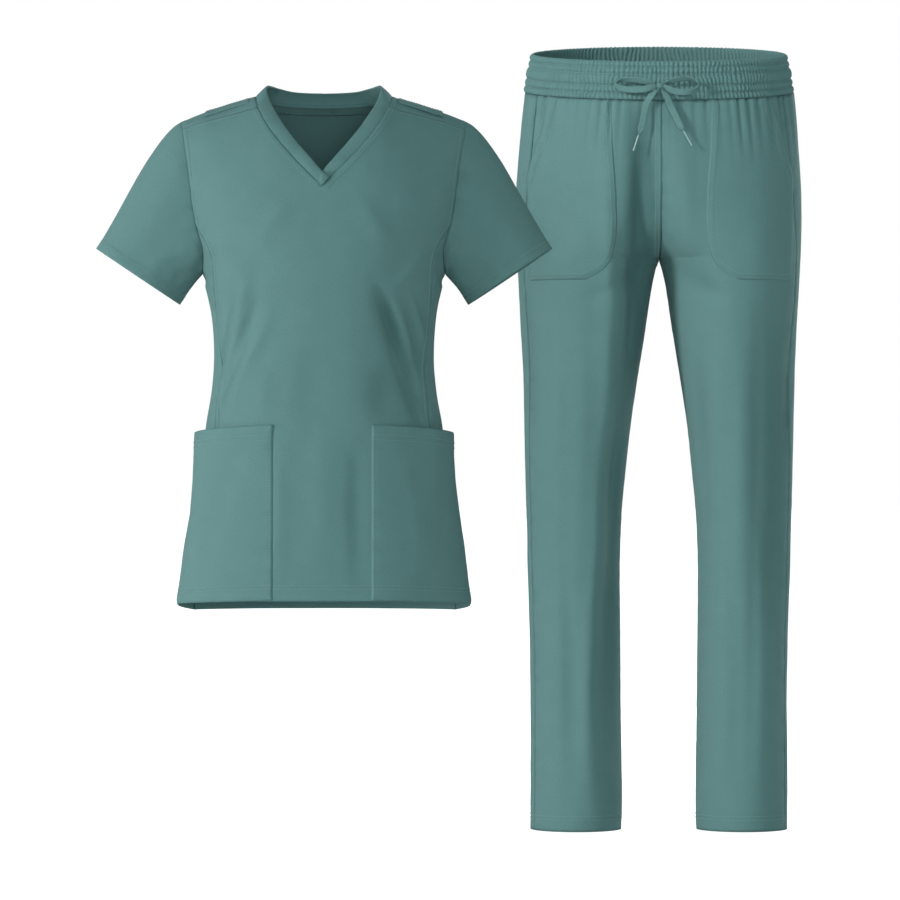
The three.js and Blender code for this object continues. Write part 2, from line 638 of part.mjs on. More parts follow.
function makeTopPocket(side, name) {
  const { inner, top, sag, gape, columns, rows, wrapTop, wrapHem } = topPocket;
  const points = Array.from({ length: rows + 1 }, (_, j) => {
    const down = j / rows;
    return Array.from({ length: columns + 1 }, (_unused, i) => {
      const across = i / columns;
      const upper = top - sag * across ** 1.4;
      const z = lerp(upper, hemHeight(lerp(1, 0, across)) + 1, down);
      const start = ringAngle(inner, z);
      const angle = lerp(start, lerp(wrapTop, wrapHem, down), across);
      const swell = Math.sin(Math.PI * across ** 1.7) * (1 - down) ** 0.8;
      const point = ringPoint(side, angle, z);
      const half = read(torso, 'z', z, 'half');
      const depth = read(torso, 'z', z, angle > 0 ? 'front' : 'back');
      const outward = new THREE.Vector3(point.x / half ** 2, point.y / depth ** 2, 0).normalize();
      return point.addScaledVector(outward, layerGap + patchWall + gape * swell);
    });
  });
  return new Cloth(name, patchWall).addGrid(points, side > 0);
}

// Trousers: a point of one leg by its angle from the outside, positive in front
function legPoint(side, angle, row) {
  const outer = read(leg, 'z', row, 'outer');
  const inner = read(leg, 'z', row, 'inner');
  const apart = row <= crotch ? 1 : read(leg, 'z', row, 'apart');
  const half = row <= crotch ? (outer - inner) / 2 : outer / (1 + apart);
  const centre = row <= crotch ? (outer + inner) / 2 : half * apart;
  const depth = read(leg, 'z', row, angle > 0 ? 'front' : 'back');
  const x = side * Math.max(centre + half * Math.cos(angle), inner);
  const y = -depth * Math.sin(angle);
  const tilt = clamp(1 + row / waistFade, 0, 1) * (waistRise + waistTilt * y);
  const point = new THREE.Vector3(x, y, row + tilt);
  const frontShare = clamp(0.5 - y / 40, 0, 1);
  const height = foldHeight(legFrontFolds, x, row) * frontShare
    + foldHeight(legBackFolds, x, row) * (1 - frontShare);
  const fade = clamp((Math.abs(x) - inner) / 14, 0, 1);
  const outward = new THREE.Vector3((x - side * centre) / half ** 2, y / depth ** 2, 0).normalize();
  return point.addScaledVector(outward, height * fade);
}

// Angle at which a leg's surface reaches the middle seam or the inseam
function innerAngle(row) {
  return row <= crotch ? Math.PI : Math.acos(-read(leg, 'z', row, 'apart'));
}

function makeLegPanel(side, face, name) {
  const rows = legRows.map((row) => Array.from({ length: legColumns + 1 }, (_, i) => {
    const angle = lerp(sideSeamTurn, face * innerAngle(row), i / legColumns);
    const gather = clamp(1 + row / 45, 0, 1) * 0.7 * (i % 2 ? -1 : 1);
    const point = legPoint(side, angle, row);
    if (i === legColumns) point.x = row >= crotch ? 0 : point.x;
    const inside = i > 0 && i < legColumns;
    const centre = new THREE.Vector3(point.x, point.y, 0).normalize();
    return inside ? point.addScaledVector(centre, gather) : point;
  }));
  return new Cloth(name, clothWall).addGrid(rows, side * face < 0);
}

// Point of the waistband by angle round the waist, share of its height and distance out
function waistPoint(angle, rise, out) {
  const lean = waistLean * rise;
  const half = read(leg, 'z', 5, 'outer') - lean + out;
  const depth = read(leg, 'z', 5, angle > 0 && angle < Math.PI ? 'front' : 'back') - lean * 0.5 + out;
  const y = -depth * Math.sin(angle);
  return new THREE.Vector3(half * Math.cos(angle), y, waistRise + waistTilt * y + rise * bandHeight);
}

function makeWaistband() {
  const columns = gatherCount * 2;
  const lowest = (seamGap + 0.1) / bandHeight;
  const outline = waistProfile.map(({ rise, out }) => ({ rise: Math.max(rise, lowest), out, outer: true }));
  outline.push({ rise: 1, out: -2.2 }, { rise: lowest, out: -2.2 });
  const points = [];
  const faces = [];
  for (let i = 0; i < columns; i += 1) {
    const angle = (2 * Math.PI * i) / columns;
    for (const { rise, out, outer } of outline) {
      const gather = outer && out > 1 ? gatherHeight * (i % 2 ? 1 : -1) : 0;
      points.push(waistPoint(angle, rise, out + gather));
    }
  }
  const size = outline.length;
  for (let i = 0; i < columns; i += 1) {
    const next = ((i + 1) % columns) * size;
    for (let j = 0; j < size; j += 1) {
      const up = (j + 1) % size;
      faces.push([i * size + j, i * size + up, next + up], [i * size + j, next + up, next + j]);
    }
  }
  return closedGeometry(points, faces);
}

function makeTrouserPocket(side, name) {
  const points = trouserPocketRows.map((row) => Array.from({ length: trouserPocketColumns + 1 }, (_, i) => {
    const x = lerp(row.inner, row.outer, i / trouserPocketColumns);
    const outer = read(leg, 'z', row.z, 'outer');
    const half = outer / (1 + read(leg, 'z', row.z, 'apart'));
    const centre = row.z <= crotch ? (outer + read(leg, 'z', row.z, 'inner')) / 2 : outer - half;
    const width = row.z <= crotch ? outer - centre : half;
    const angle = Math.acos(clamp((x - centre) / width, -1, 1));
    const point = legPoint(side, angle, row.z);
    const depth = read(leg, 'z', row.z, 'front');
    const outward = new THREE.Vector3((point.x - side * centre) / width ** 2, point.y / depth ** 2, 0);
    return point.addScaledVector(outward.normalize(), layerGap + patchWall + 0.9);
  }));
  return new Cloth(name, patchWall).addGrid(points, side > 0);
}

// Front of the waistband and trousers at a place of the drawstring
function frontDepth(x, z) {
  const row = Math.min(z - 4, 0);
  const half = read(leg, 'z', row, 'outer');
  const depth = read(leg, 'z', row, 'front') + (z > 4 ? bandProud : legProud);
  return -depth * Math.sqrt(1 - (x / half) ** 2);
}

// Flat cord along a route: a rectangle whose broad side faces the front
function makeCord(route) {
  const curve = new THREE.CatmullRomCurve3(route.map(({ x, z, lift }) => (
    new THREE.Vector3(x, frontDepth(x, z) - lift, z))));
  const steps = route.length * 2;
  const points = [];
  const faces = [];
  for (let i = 0; i <= steps; i += 1) {
    const centre = curve.getPoint(i / steps);
    const along = curve.getTangent(i / steps);
    const front = new THREE.Vector3(0, -1, 0).addScaledVector(along, along.y).normalize();
    const across = new THREE.Vector3().crossVectors(along, front).normalize();
    for (const [a, b] of [[-1, -1], [1, -1], [1, 1], [-1, 1]]) {
      points.push(centre.clone()
        .addScaledVector(across, (a * cordWidth) / 2)
        .addScaledVector(front, (b * cordThick) / 2));
    }
  }
  for (let i = 0; i < steps; i += 1) {
    for (let j = 0; j < 4; j += 1) {
      const a = i * 4 + j;
      const b = i * 4 + ((j + 1) % 4);
      faces.push([a, b + 4, b], [a, a + 4, b + 4]);
    }
  }
  const end = steps * 4;
  faces.push([0, 1, 2], [0, 2, 3], [end, end + 2, end + 1], [end, end + 3, end + 2]);
  return closedGeometry(points, faces);
}

function makeTip(route) {
  const [before, last] = route.slice(-2).map(({ x, z, lift }) => (
    new THREE.Vector3(x, frontDepth(x, z) - lift, z)));
  const along = last.clone().sub(before).normalize();
  const geometry = new THREE.CylinderGeometry(tip.radius, tip.radius, tip.long, 10);
  const turn = new THREE.Quaternion().setFromUnitVectors(new THREE.Vector3(0, 1, 0), along);
  const centre = last.addScaledVector(along, tip.gap + tip.long / 2);
  return geometry.applyQuaternion(turn).translate(centre.x, centre.y, centre.z);
}

function makeKnot() {
  const geometry = new THREE.SphereGeometry(1, 12, 8);
  geometry.scale(knot.wide / 2, knot.deep / 2, knot.high / 2);
  return geometry.translate(knot.x, frontDepth(knot.x, knot.z) - knot.lift, knot.z);
}

const cloth = new THREE.MeshStandardMaterial({ color: 0x5f8885, roughness: 0.85, metalness: 0 });
const tipMetal = new THREE.MeshStandardMaterial({ color: 0xb9bdbb, roughness: 0.35, metalness: 0.8 });

function addMesh(group, name, geometry, material = cloth) {
  const mesh = new THREE.Mesh(geometry, material);
  mesh.name = name;
  group.add(mesh);
}

function makeTop() {
  const group = new THREE.Group();
  const sewn = [
    makeFront(), makeBack(),
    makeSidePanel(-1, 'side_panel_left'), makeSidePanel(1, 'side_panel_right'),
    makeSleeve(-1, 'sleeve_left'), makeSleeve(1, 'sleeve_right'),
    makeNeckband(),
  ];
  const shared = sharedNormals(sewn);
  sewn.forEach((piece) => addMesh(group, piece.name, piece.solid(shared)));
  const laidOn = [
    makeNeckTape(),
    makeShoulderLoop(-1, 'shoulder_loop_left'), makeShoulderLoop(1, 'shoulder_loop_right'),
    makeTopPocket(-1, 'top_pocket_left'), makeTopPocket(1, 'top_pocket_right'),
  ];
  laidOn.forEach((piece) => addMesh(group, piece.name, piece.solid()));
  return group;
}

function makeTrousers() {
  const group = new THREE.Group();
  group.position.set(trousersX, trousersY, 0);
  const sewn = [
    makeLegPanel(-1, 1, 'leg_front_left'), makeLegPanel(1, 1, 'leg_front_right'),
    makeLegPanel(-1, -1, 'leg_back_left'), makeLegPanel(1, -1, 'leg_back_right'),
  ];
  const shared = sharedNormals(sewn);
  sewn.forEach((piece) => addMesh(group, piece.name, piece.solid(shared)));
  for (const [side, name] of [[-1, 'trouser_pocket_left'], [1, 'trouser_pocket_right']]) {
    addMesh(group, name, makeTrouserPocket(side, name).solid());
  }
  addMesh(group, 'waistband', makeWaistband());
  addMesh(group, 'drawstring_knot', makeKnot());
  const cords = { loop_left: loopLeft, loop_right: loopRight, tail_left: tailLeft, tail_right: tailRight };
  Object.entries(cords).forEach(([name, route]) => addMesh(group, `drawstring_${name}`, makeCord(route)));
  addMesh(group, 'tip_left', makeTip(tailLeft), tipMetal);
  addMesh(group, 'tip_right', makeTip(tailRight), tipMetal);
  return group;
}

const scrubs = new THREE.Group();
scrubs.add(makeTop(), makeTrousers());

export default scrubs;
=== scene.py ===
# Medical scrubs: a V-neck short-sleeved top and drawstring trousers, both hollow and filled out.
# Tables and shapes are in millimetres, and meshes are made in metres. -Y is the front.
import math

import bpy
import numpy as np
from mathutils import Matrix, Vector
from mathutils.bvhtree import BVHTree


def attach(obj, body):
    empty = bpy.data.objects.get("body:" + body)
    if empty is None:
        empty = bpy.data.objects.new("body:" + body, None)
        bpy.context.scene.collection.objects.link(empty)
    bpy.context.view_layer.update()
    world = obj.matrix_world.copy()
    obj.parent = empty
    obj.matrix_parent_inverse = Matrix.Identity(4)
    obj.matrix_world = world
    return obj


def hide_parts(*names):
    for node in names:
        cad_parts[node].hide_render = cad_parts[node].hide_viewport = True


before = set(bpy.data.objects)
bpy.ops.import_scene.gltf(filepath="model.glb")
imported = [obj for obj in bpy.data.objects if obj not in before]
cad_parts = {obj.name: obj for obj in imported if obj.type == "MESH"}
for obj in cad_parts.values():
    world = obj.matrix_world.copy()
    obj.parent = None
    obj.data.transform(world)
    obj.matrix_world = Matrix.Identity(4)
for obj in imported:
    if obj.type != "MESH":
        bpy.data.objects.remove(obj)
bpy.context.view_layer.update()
mm = 0.001
garmentLine = 240  # pieces whose middle lies past this x belong to the trousers
quarterTurn = math.pi / 2
print("frame loaded:", len(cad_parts), "nodes")

# Camera, floor and lights
studio = {
    "cameraPlace": (0.1562, -7.0, -0.434),
    "pixelSize": 1.24 * mm,  # what one of the picture's 900 pixels spans at the object
    "pixels": 900,
    "sensor": 36.0,
    "floorHeight": -0.9145,
    "floorHalf": 40.0,
    "floorColour": (0.75, 0.75, 0.745),
    "floorGlow": 0.80,  # as the camera sees it
    "floorBounce": 0.10,  # as it lights the cloth
    "backdropColour": (1.0, 1.0, 1.0),
    "skyColour": (0.86, 1.0, 1.0),
    "skyLeft": 0.78,  # the even light is stronger from the picture's left than from its right
    "skyRight": 0.36,
}
# Each garment is lit by its own key lamp, as they were shown one at a time
lamps = {
    "keyTop": {"place": (-4.1, -1.7, -0.35), "aim": (0.0, 0.0, -0.3), "size": 1.2, "power": 180,
               "colour": (1.0, 0.94, 0.935), "on": "top"},
    "keyTrousers": {"place": (-3.1, -2.3, 1.3), "aim": (0.42, 0.16, -0.4), "size": 0.7, "power": 186,
                    "colour": (1.0, 0.94, 0.935), "on": "trousers"},
    "fill": {"place": (0.5, -5.0, 0.1), "aim": (0.2, 0.0, -0.4), "size": 2.4, "power": 98,
             "colour": (0.95, 1.0, 1.0), "on": None},
    "rim": {"place": (2.2, 3.0, 0.9), "aim": (0.2, 0.0, -0.3), "size": 1.4, "power": 84,
            "colour": (1.0, 1.0, 1.0), "on": None},
}
garmentCollections = {name: bpy.data.collections.new(name + "Pieces") for name in ("top", "trousers")}


def makeCamera():
    # lens = sensor width times distance over the width that the picture shows
    data = bpy.data.cameras.new("camera")
    camera = bpy.data.objects.new("camera", data)
    bpy.context.scene.collection.objects.link(camera)
    data.sensor_width = studio["sensor"]
    distance = -studio["cameraPlace"][1]
    data.lens = studio["sensor"] * distance / (studio["pixelSize"] * studio["pixels"])
    data.clip_end = 200
    camera.location = studio["cameraPlace"]
    camera.rotation_euler = (quarterTurn, 0, 0)
    bpy.context.scene.camera = camera


def makeLamps():
    for name, lamp in lamps.items():
        data = bpy.data.lights.new(name, "AREA")
        data.energy = lamp["power"]
        data.color = lamp["colour"]
        data.size = lamp["size"]
        light = bpy.data.objects.new(name, data)
        bpy.context.scene.collection.objects.link(light)
        light.location = lamp["place"]
        aim = Vector(lamp["aim"]) - Vector(lamp["place"])
        light.rotation_euler = aim.to_track_quat("-Z", "Y").to_euler()
        if lamp["on"]:
            light.light_linking.receiver_collection = garmentCollections[lamp["on"]]
            light.light_linking.blocker_collection = garmentCollections[lamp["on"]]
    # the backdrop is white where it is seen, and gives a weaker even light
    world = bpy.data.worlds.new("studio")
    world.use_nodes = True
    nodes, links = world.node_tree.nodes, world.node_tree.links
    even = nodes["Background"]
    even.inputs["Color"].default_value = (*studio["skyColour"], 1)
    direction = nodes.new("ShaderNodeTexCoord")
    split = nodes.new("ShaderNodeSeparateXYZ")
    strength = nodes.new("ShaderNodeMapRange")
    strength.inputs["From Min"].default_value = -1
    strength.inputs["To Min"].default_value = studio["skyLeft"]
    strength.inputs["To Max"].default_value = studio["skyRight"]
    links.new(direction.outputs["Generated"], split.inputs[0])
    links.new(split.outputs[0], strength.inputs["Value"])
    links.new(strength.outputs["Result"], even.inputs["Strength"])
    seen = nodes.new("ShaderNodeBackground")
    seen.inputs["Color"].default_value = (*studio["backdropColour"], 1)
    rays = nodes.new("ShaderNodeLightPath")
    mix = nodes.new("ShaderNodeMixShader")
    links.new(rays.outputs["Is Camera Ray"], mix.inputs["Fac"])
    links.new(even.outputs["Background"], mix.inputs[1])
    links.new(seen.outputs["Background"], mix.inputs[2])
    links.new(mix.outputs["Shader"], nodes["World Output"].inputs["Surface"])
    bpy.context.scene.world = world
    bpy.context.scene.view_settings.view_transform = "Standard"


def makeFloor():
    half = studio["floorHalf"]
    corners = [(-half, -half), (half, -half), (half, half), (-half, half)]
    mesh = bpy.data.meshes.new("floor")
    mesh.from_pydata([(x, y, studio["floorHeight"]) for x, y in corners], [], [(0, 1, 2, 3)])
    material = bpy.data.materials.new("paleFloor")
    material.use_nodes = True
    shader = material.node_tree.nodes["Principled BSDF"]
    shader.inputs["Base Color"].default_value = (*studio["floorColour"], 1)
    shader.inputs["Roughness"].default_value = 0.9
    shader.inputs["Specular IOR Level"].default_value = 0.1
    shader.inputs["Emission Color"].default_value = (1, 1, 1, 1)
    links = material.node_tree.links
    rays = material.node_tree.nodes.new("ShaderNodeLightPath")
    glow = material.node_tree.nodes.new("ShaderNodeMapRange")
    glow.inputs["To Min"].default_value = studio["floorBounce"]
    glow.inputs["To Max"].default_value = studio["floorGlow"]
    links.new(rays.outputs["Is Camera Ray"], glow.inputs["Value"])
    links.new(glow.outputs["Result"], shader.inputs["Emission Strength"])
    mesh.materials.append(material)
    floor = bpy.data.objects.new("floor", mesh)
    bpy.context.scene.collection.objects.link(floor)


makeCamera()
makeLamps()
makeFloor()
print("camera, lamps and floor made")


# Numbers read smoothly from tables, noise, and small vector work
def read(table, key, at, column):
    # cubic between rows, with each row's slope taken from the rows before and after it
    keys = np.asarray(table[key], float)
    values = np.asarray(table[column], float)
    last = len(keys) - 1
    before = np.maximum(np.arange(last + 1) - 1, 0)
    after = np.minimum(np.arange(last + 1) + 1, last)
    slopes = (values[after] - values[before]) / (keys[after] - keys[before])
    at = np.clip(at, keys[0], keys[-1])
    i = np.clip(np.searchsorted(keys, at, side="right") - 1, 0, last - 1)
    span = keys[i + 1] - keys[i]
    t = (at - keys[i]) / span
    rise = values[i + 1] - values[i]
    bends = slopes[i] * t * (1 - t) ** 2 - slopes[i + 1] * t * t * (1 - t)
    return values[i] + rise * t * t * (3 - 2 * t) + span * bends


def lerp(a, b, t):
    return a + (b - a) * t


def smoothStep(edge0, edge1, value):
    t = np.clip((value - edge0) / (edge1 - edge0), 0, 1)
    return t * t * (3 - 2 * t)


def unevenness(a, b, size, seed):
    # random heights on a lattice of cells of that size, joined smoothly, from -1 to 1
    cells = 64
    lattice = np.random.default_rng(seed).uniform(-1, 1, (cells, cells))
    a = np.asarray(a, float) / size + 500
    b = np.asarray(b, float) / size + 500
    i = np.floor(a).astype(int)
    j = np.floor(b).astype(int)
    s = a - i
    t = b - j
    s = s * s * (3 - 2 * s)
    t = t * t * (3 - 2 * t)
    low = lerp(lattice[i % cells, j % cells], lattice[(i + 1) % cells, j % cells], s)
    high = lerp(lattice[i % cells, (j + 1) % cells], lattice[(i + 1) % cells, (j + 1) % cells], s)
    return lerp(low, high, t)


def unit(vectors):
    size = np.linalg.norm(vectors, axis=-1, keepdims=True)
    return vectors / np.maximum(size, 1e-9)


def alongPath(path):
    # length walked from the first point to each point
    steps = np.linalg.norm(np.diff(path, axis=0), axis=1)
    return np.concatenate([[0.0], np.cumsum(steps)])


def evenPath(path, pitch=None, count=None):
    # the same path with its points the same distance apart
    walked = alongPath(path)
    if count is None:
        count = max(int(round(walked[-1] / pitch)), 2) + 1
    at = np.linspace(0, walked[-1], count)
    return np.stack([np.interp(at, walked, path[:, k]) for k in range(3)], axis=1)


def nearestOnPath(points, path):
    # distance from each point to the path, and the length walked along the path there
    best = np.full(len(points), 1e9)
    walked = np.zeros(len(points))
    starts = alongPath(path)
    for k in range(len(path) - 1):
        step = path[k + 1] - path[k]
        size = np.linalg.norm(step)
        if size < 1e-9:
            continue
        along = points - path[k]
        t = np.clip(along @ step / size ** 2, 0, 1)
        away = np.linalg.norm(along - t[:, None] * step, axis=1)
        nearer = away < best
        best[nearer] = away[nearer]
        walked[nearer] = starts[k] + t[nearer] * size
    return best, walked


# Straight soft folds as in the solids: a bell across a line, fading at both ends
def foldHeight(folds, x, z):
    total = np.zeros_like(x)
    for x0, z0, x1, z1, width, height in folds:
        length = math.hypot(x1 - x0, z1 - z0)
        t = ((x - x0) * (x1 - x0) + (z - z0) * (z1 - z0)) / length ** 2
        across = ((x - x0) * (z1 - z0) - (z - z0) * (x1 - x0)) / length
        ends = np.clip(1.25 - np.abs(t - 0.5) * 2, 0, 1)
        total += height * np.exp(-(across / width) ** 2) * ends * ends * (3 - 2 * ends)
    return total


# Curved folds: from one point past a bend to another, steeper on one side by the lean
def curvedFolds(folds, x, z):
    # bell of the distance to a quadratic curve, wider on one side, tapering to both ends
    total = np.zeros_like(x)
    flat = np.stack([x.ravel(), z.ravel()], axis=1)
    for x0, z0, xm, zm, x1, z1, width, height, lean in folds:
        t = np.linspace(0, 1, 13)[:, None]
        curve = (1 - t) ** 2 * np.array([x0, z0]) + 2 * t * (1 - t) * np.array([xm, zm])
        curve = curve + t * t * np.array([x1, z1])
        best = np.full(len(flat), 1e9)
        side = np.ones(len(flat))
        place = np.zeros(len(flat))
        for k in range(12):
            step = curve[k + 1] - curve[k]
            size = np.hypot(*step)
            away = flat - curve[k]
            s = np.clip(away @ step / size ** 2, 0, 1)
            gap = np.hypot(*(away - s[:, None] * step).T)
            nearer = gap < best
            best[nearer] = gap[nearer]
            cross = step[0] * away[:, 1] - step[1] * away[:, 0]
            side[nearer] = np.sign(cross[nearer])
            place[nearer] = (k + s[nearer]) / 12
        spread = width * (1 + lean * side)
        taper = np.sin(np.pi * np.clip(place, 0.02, 0.98)) ** 0.8
        bell = height * np.exp(-(best / spread) ** 2) * taper
        total += bell.reshape(x.shape)
    return total


# Meshes
def joinGrids(grids):
    # stacks the grids and makes points within a hundredth of a millimetre one
    points, maps, quads, start = [], [], [], 0
    for grid, chart, turned in grids:
        rows, columns = grid.shape[:2]
        ids = np.arange(rows * columns).reshape(rows, columns) + start
        corners = [ids[:-1, :-1], ids[:-1, 1:], ids[1:, 1:], ids[1:, :-1]]
        if turned:
            corners.reverse()
        quads.append(np.stack([c.ravel() for c in corners], axis=1))
        points.append(grid.reshape(-1, 3))
        maps.append(chart.reshape(-1, 2))
        start += rows * columns
    points, maps, quads = np.concatenate(points), np.concatenate(maps), np.concatenate(quads)
    keys = np.round(points * 100).astype(np.int64)
    kept, first, where = np.unique(keys, axis=0, return_index=True, return_inverse=True)
    quads = where.reshape(-1)[quads]
    return points[first], maps[first], quads


def pointNormals(points, quads):
    a, b, c, d = (points[quads[:, k]] for k in range(4))
    faces = np.cross(c - a, d - b)
    total = np.zeros_like(points)
    for k in range(4):
        for axis in range(3):
            total[:, axis] += np.bincount(quads[:, k], faces[:, axis], len(points))
    return unit(total)


def makeObject(name, points, quads, chart, material, node=None, paintedShadeShare=None):
    # points go into the mesh in metres, chart becomes its UV map, and faces are smooth;
    # the last argument, from 0 to 1, is painted shade: how far each point's colour is darkened
    mesh = bpy.data.meshes.new(name)
    count = len(quads)
    mesh.vertices.add(len(points))
    mesh.vertices.foreach_set("co", (np.asarray(points) * mm).astype(np.float32).ravel())
    mesh.loops.add(count * quads.shape[1])
    mesh.loops.foreach_set("vertex_index", quads.astype(np.int32).ravel())
    mesh.polygons.add(count)
    mesh.polygons.foreach_set("loop_start", np.arange(count, dtype=np.int32) * quads.shape[1])
    mesh.update(calc_edges=True)
    layer = mesh.uv_layers.new(name="clothMap")
    layer.data.foreach_set("uv", (chart[quads.ravel()] * mm).astype(np.float32).ravel())
    mesh.polygons.foreach_set("use_smooth", np.ones(count, dtype=bool))
    if paintedShadeShare is not None:
        layer = mesh.attributes.new("paintedShadeShare", "FLOAT", "POINT")
        layer.data.foreach_set("value", paintedShadeShare.astype(np.float32))
    mesh.validate()
    mesh.materials.append(material)
    piece = bpy.data.objects.new(name, mesh)
    bpy.context.scene.collection.objects.link(piece)
    garment = "trousers" if np.mean(points[:, 0]) > garmentLine else "top"
    garmentCollections[garment].objects.link(piece)
    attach(piece, "root")
    if node:
        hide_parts(node)
    return piece


def addWall(piece, wall):
    # thickness grows inwards from the surface that is modelled
    solidify = piece.modifiers.new("wall", "SOLIDIFY")
    solidify.thickness = wall * mm
    solidify.offset = -1
    solidify.use_even_offset = False
    solidify.use_quality_normals = True


def chartOf(grid):
    # walked length along each row and along the middle column, for the weave
    across = np.linalg.norm(np.diff(grid, axis=1), axis=2)
    u = np.concatenate([np.zeros((len(grid), 1)), np.cumsum(across, axis=1)], axis=1)
    u -= u[:, -1:] / 2
    down = np.linalg.norm(np.diff(grid, axis=0), axis=2).mean(axis=1)
    v = np.concatenate([[0.0], np.cumsum(down)])
    return np.stack([u, np.broadcast_to(v[:, None], u.shape)], axis=2)


# Stitches: little capsules laid end to end along a seam
stitch = {"long": 2.7, "pitch": 3.4, "radius": 0.42, "sides": 4, "sunk": 0.14}
stitchRows = {"top": [], "trousers": []}  # centres, directions and normals of every stitch


def surfaceTree(piece):
    # lookup of the nearest place on a finished surface, in millimetres
    mesh = piece.data
    count = len(mesh.vertices)
    points = np.empty(count * 3, np.float32)
    mesh.vertices.foreach_get("co", points)
    faces = np.empty(len(mesh.loops), np.int32)
    mesh.loops.foreach_get("vertex_index", faces)
    places = (points.reshape(-1, 3) / mm).tolist()
    return BVHTree.FromPolygons(places, faces.reshape(len(mesh.polygons), -1).tolist())


def snap(tree, path):
    # every point of the path moved onto the surface, with the surface's normal there
    found = [tree.find_nearest(Vector(point)) for point in path.tolist()]
    places = np.array([tuple(hit[0]) for hit in found])
    normals = np.array([tuple(hit[1]) for hit in found])
    return places, normals


def besidePath(tree, path, distance, inside):
    # moved sideways on the surface, along travel crossed with the normal, on the side of inside
    places, normals = snap(tree, evenPath(path, pitch=4.0))
    travel = unit(np.gradient(places, axis=0))
    sideways = unit(np.cross(travel, normals))
    sign = 1.0 if np.sum(sideways * (inside - places)) > 0 else -1.0
    return snap(tree, places + sign * distance * sideways)[0]


def sewRow(garment, tree, path, skip=(0.0, 0.0)):
    # stitches a fixed pitch apart, each with its ends pulled into the cloth
    path = evenPath(path, pitch=stitch["pitch"])
    walked = alongPath(path)
    kept = (walked >= skip[0]) & (walked <= walked[-1] - skip[1])
    places, normals = snap(tree, path[kept])
    travel = unit(np.gradient(places, axis=0))
    stitchRows[garment].append((places, travel, normals))


allowance = {"half": 2.2, "under": 0.3, "curl": 0.04, "wall": 0.7, "pitch": 3.5}
allowances = {"top": [], "trousers": []}


def layAllowance(garment, tree, path, wall):
    # strip of turned-in cloth under a seam: straight across it, just inside the wall
    places, normals = snap(tree, evenPath(path, pitch=allowance["pitch"]))
    sideways = unit(np.cross(unit(np.gradient(places, axis=0)), normals))
    across = np.linspace(-1, 1, 5) * allowance["half"]
    depth = wall + allowance["under"] + allowance["curl"] * across ** 2
    grid = places[:, None] + sideways[:, None] * across[None, :, None]
    allowances[garment].append(grid - normals[:, None] * depth[None, :, None])


def makeAllowances(garment):
    grids = [(grid, chartOf(grid), False) for grid in allowances[garment]]
    points, maps, quads = joinGrids(grids)
    piece = makeObject(garment + "_seam_allowances", points, quads, maps, scrubCloth)
    addWall(piece, allowance["wall"])
    print(garment, "seam allowances made")


def makeStitches(garment, material):
    # one capsule ring by ring, copied to every place as whole arrays
    sides = stitch["sides"]
    half = stitch["long"] / 2
    rings = [(-half, 0.25, -1.2), (-half * 0.55, 1.0, 0.0), (half * 0.55, 1.0, 0.0), (half, 0.25, -1.2)]
    turns = (np.arange(sides) + 0.5) / sides * 2 * math.pi
    shape = np.concatenate([np.stack([
        np.full(sides, along),
        np.cos(turns) * stitch["radius"] * share,
        (np.sin(turns) * share + dip) * stitch["radius"],
    ], axis=1) for along, share, dip in rings])
    faces = []
    for ring in range(len(rings) - 1):
        for k in range(sides):
            a = ring * sides + k
            b = ring * sides + (k + 1) % sides
            faces.append((a, b, b + sides, a + sides))
    for start, order in ((0, -1), ((len(rings) - 1) * sides, 1)):
        cap = [start + k for k in range(sides)][::order]
        faces.append(tuple(cap))
    faces = np.array(faces)
    places = np.concatenate([row[0] for row in stitchRows[garment]])
    travel = np.concatenate([row[1] for row in stitchRows[garment]])
    normals = np.concatenate([row[2] for row in stitchRows[garment]])
    across = unit(np.cross(normals, travel))
    normals = unit(np.cross(travel, across))
    lift = stitch["radius"] - stitch["sunk"]
    points = (places + lift * normals)[:, None, :] + shape[None, :, 0:1] * travel[:, None, :]
    points = points + shape[None, :, 1:2] * across[:, None, :] + shape[None, :, 2:3] * normals[:, None, :]
    quads = (faces[None] + (np.arange(len(places)) * len(shape))[:, None, None]).reshape(-1, 4)
    points = points.reshape(-1, 3)
    piece = makeObject(garment + "_stitching", points, quads, points[:, [0, 2]], material)
    print(garment, "stitches:", len(places))
    return piece


# Materials
cloth = {
    "dark": (0.078, 0.163, 0.161),
    "light": (0.103, 0.207, 0.204),
    # painted shade: the colour that creases, seams, gathers and troughs are darkened towards
    "paintedShadeColour": (0.34, 0.44, 0.44),
    "threadDark": (0.130, 0.243, 0.239),
    "threadLight": (0.160, 0.282, 0.276),
    "cordDark": (0.088, 0.190, 0.187),
    "cordLight": (0.150, 0.285, 0.280),
    "threadPitch": 0.55 * mm,
    "weaveDepth": 0.05 * mm,
    "slubDepth": 0.09 * mm,
}
tipFinish = {"colour": (0.19, 0.30, 0.29), "roughness": 0.42, "metal": 0.0}


def newGroup(name, inputs, outputs):
    group = bpy.data.node_groups.new(name, "ShaderNodeTree")
    for kind, socket, value in inputs:
        made = group.interface.new_socket(socket, in_out="INPUT", socket_type=kind)
        if value is not None:
            made.default_value = value
    for kind, socket in outputs:
        group.interface.new_socket(socket, in_out="OUTPUT", socket_type=kind)
    return group, group.nodes.new("NodeGroupInput"), group.nodes.new("NodeGroupOutput")


def mathNode(nodes, links, operation, a, b=None):
    node = nodes.new("ShaderNodeMath")
    node.operation = operation
    for socket, value in zip(node.inputs, (a, b)):
        if value is None:
            continue
        if isinstance(value, (int, float)):
            socket.default_value = value
        else:
            links.new(value, socket)
    return node.outputs[0]


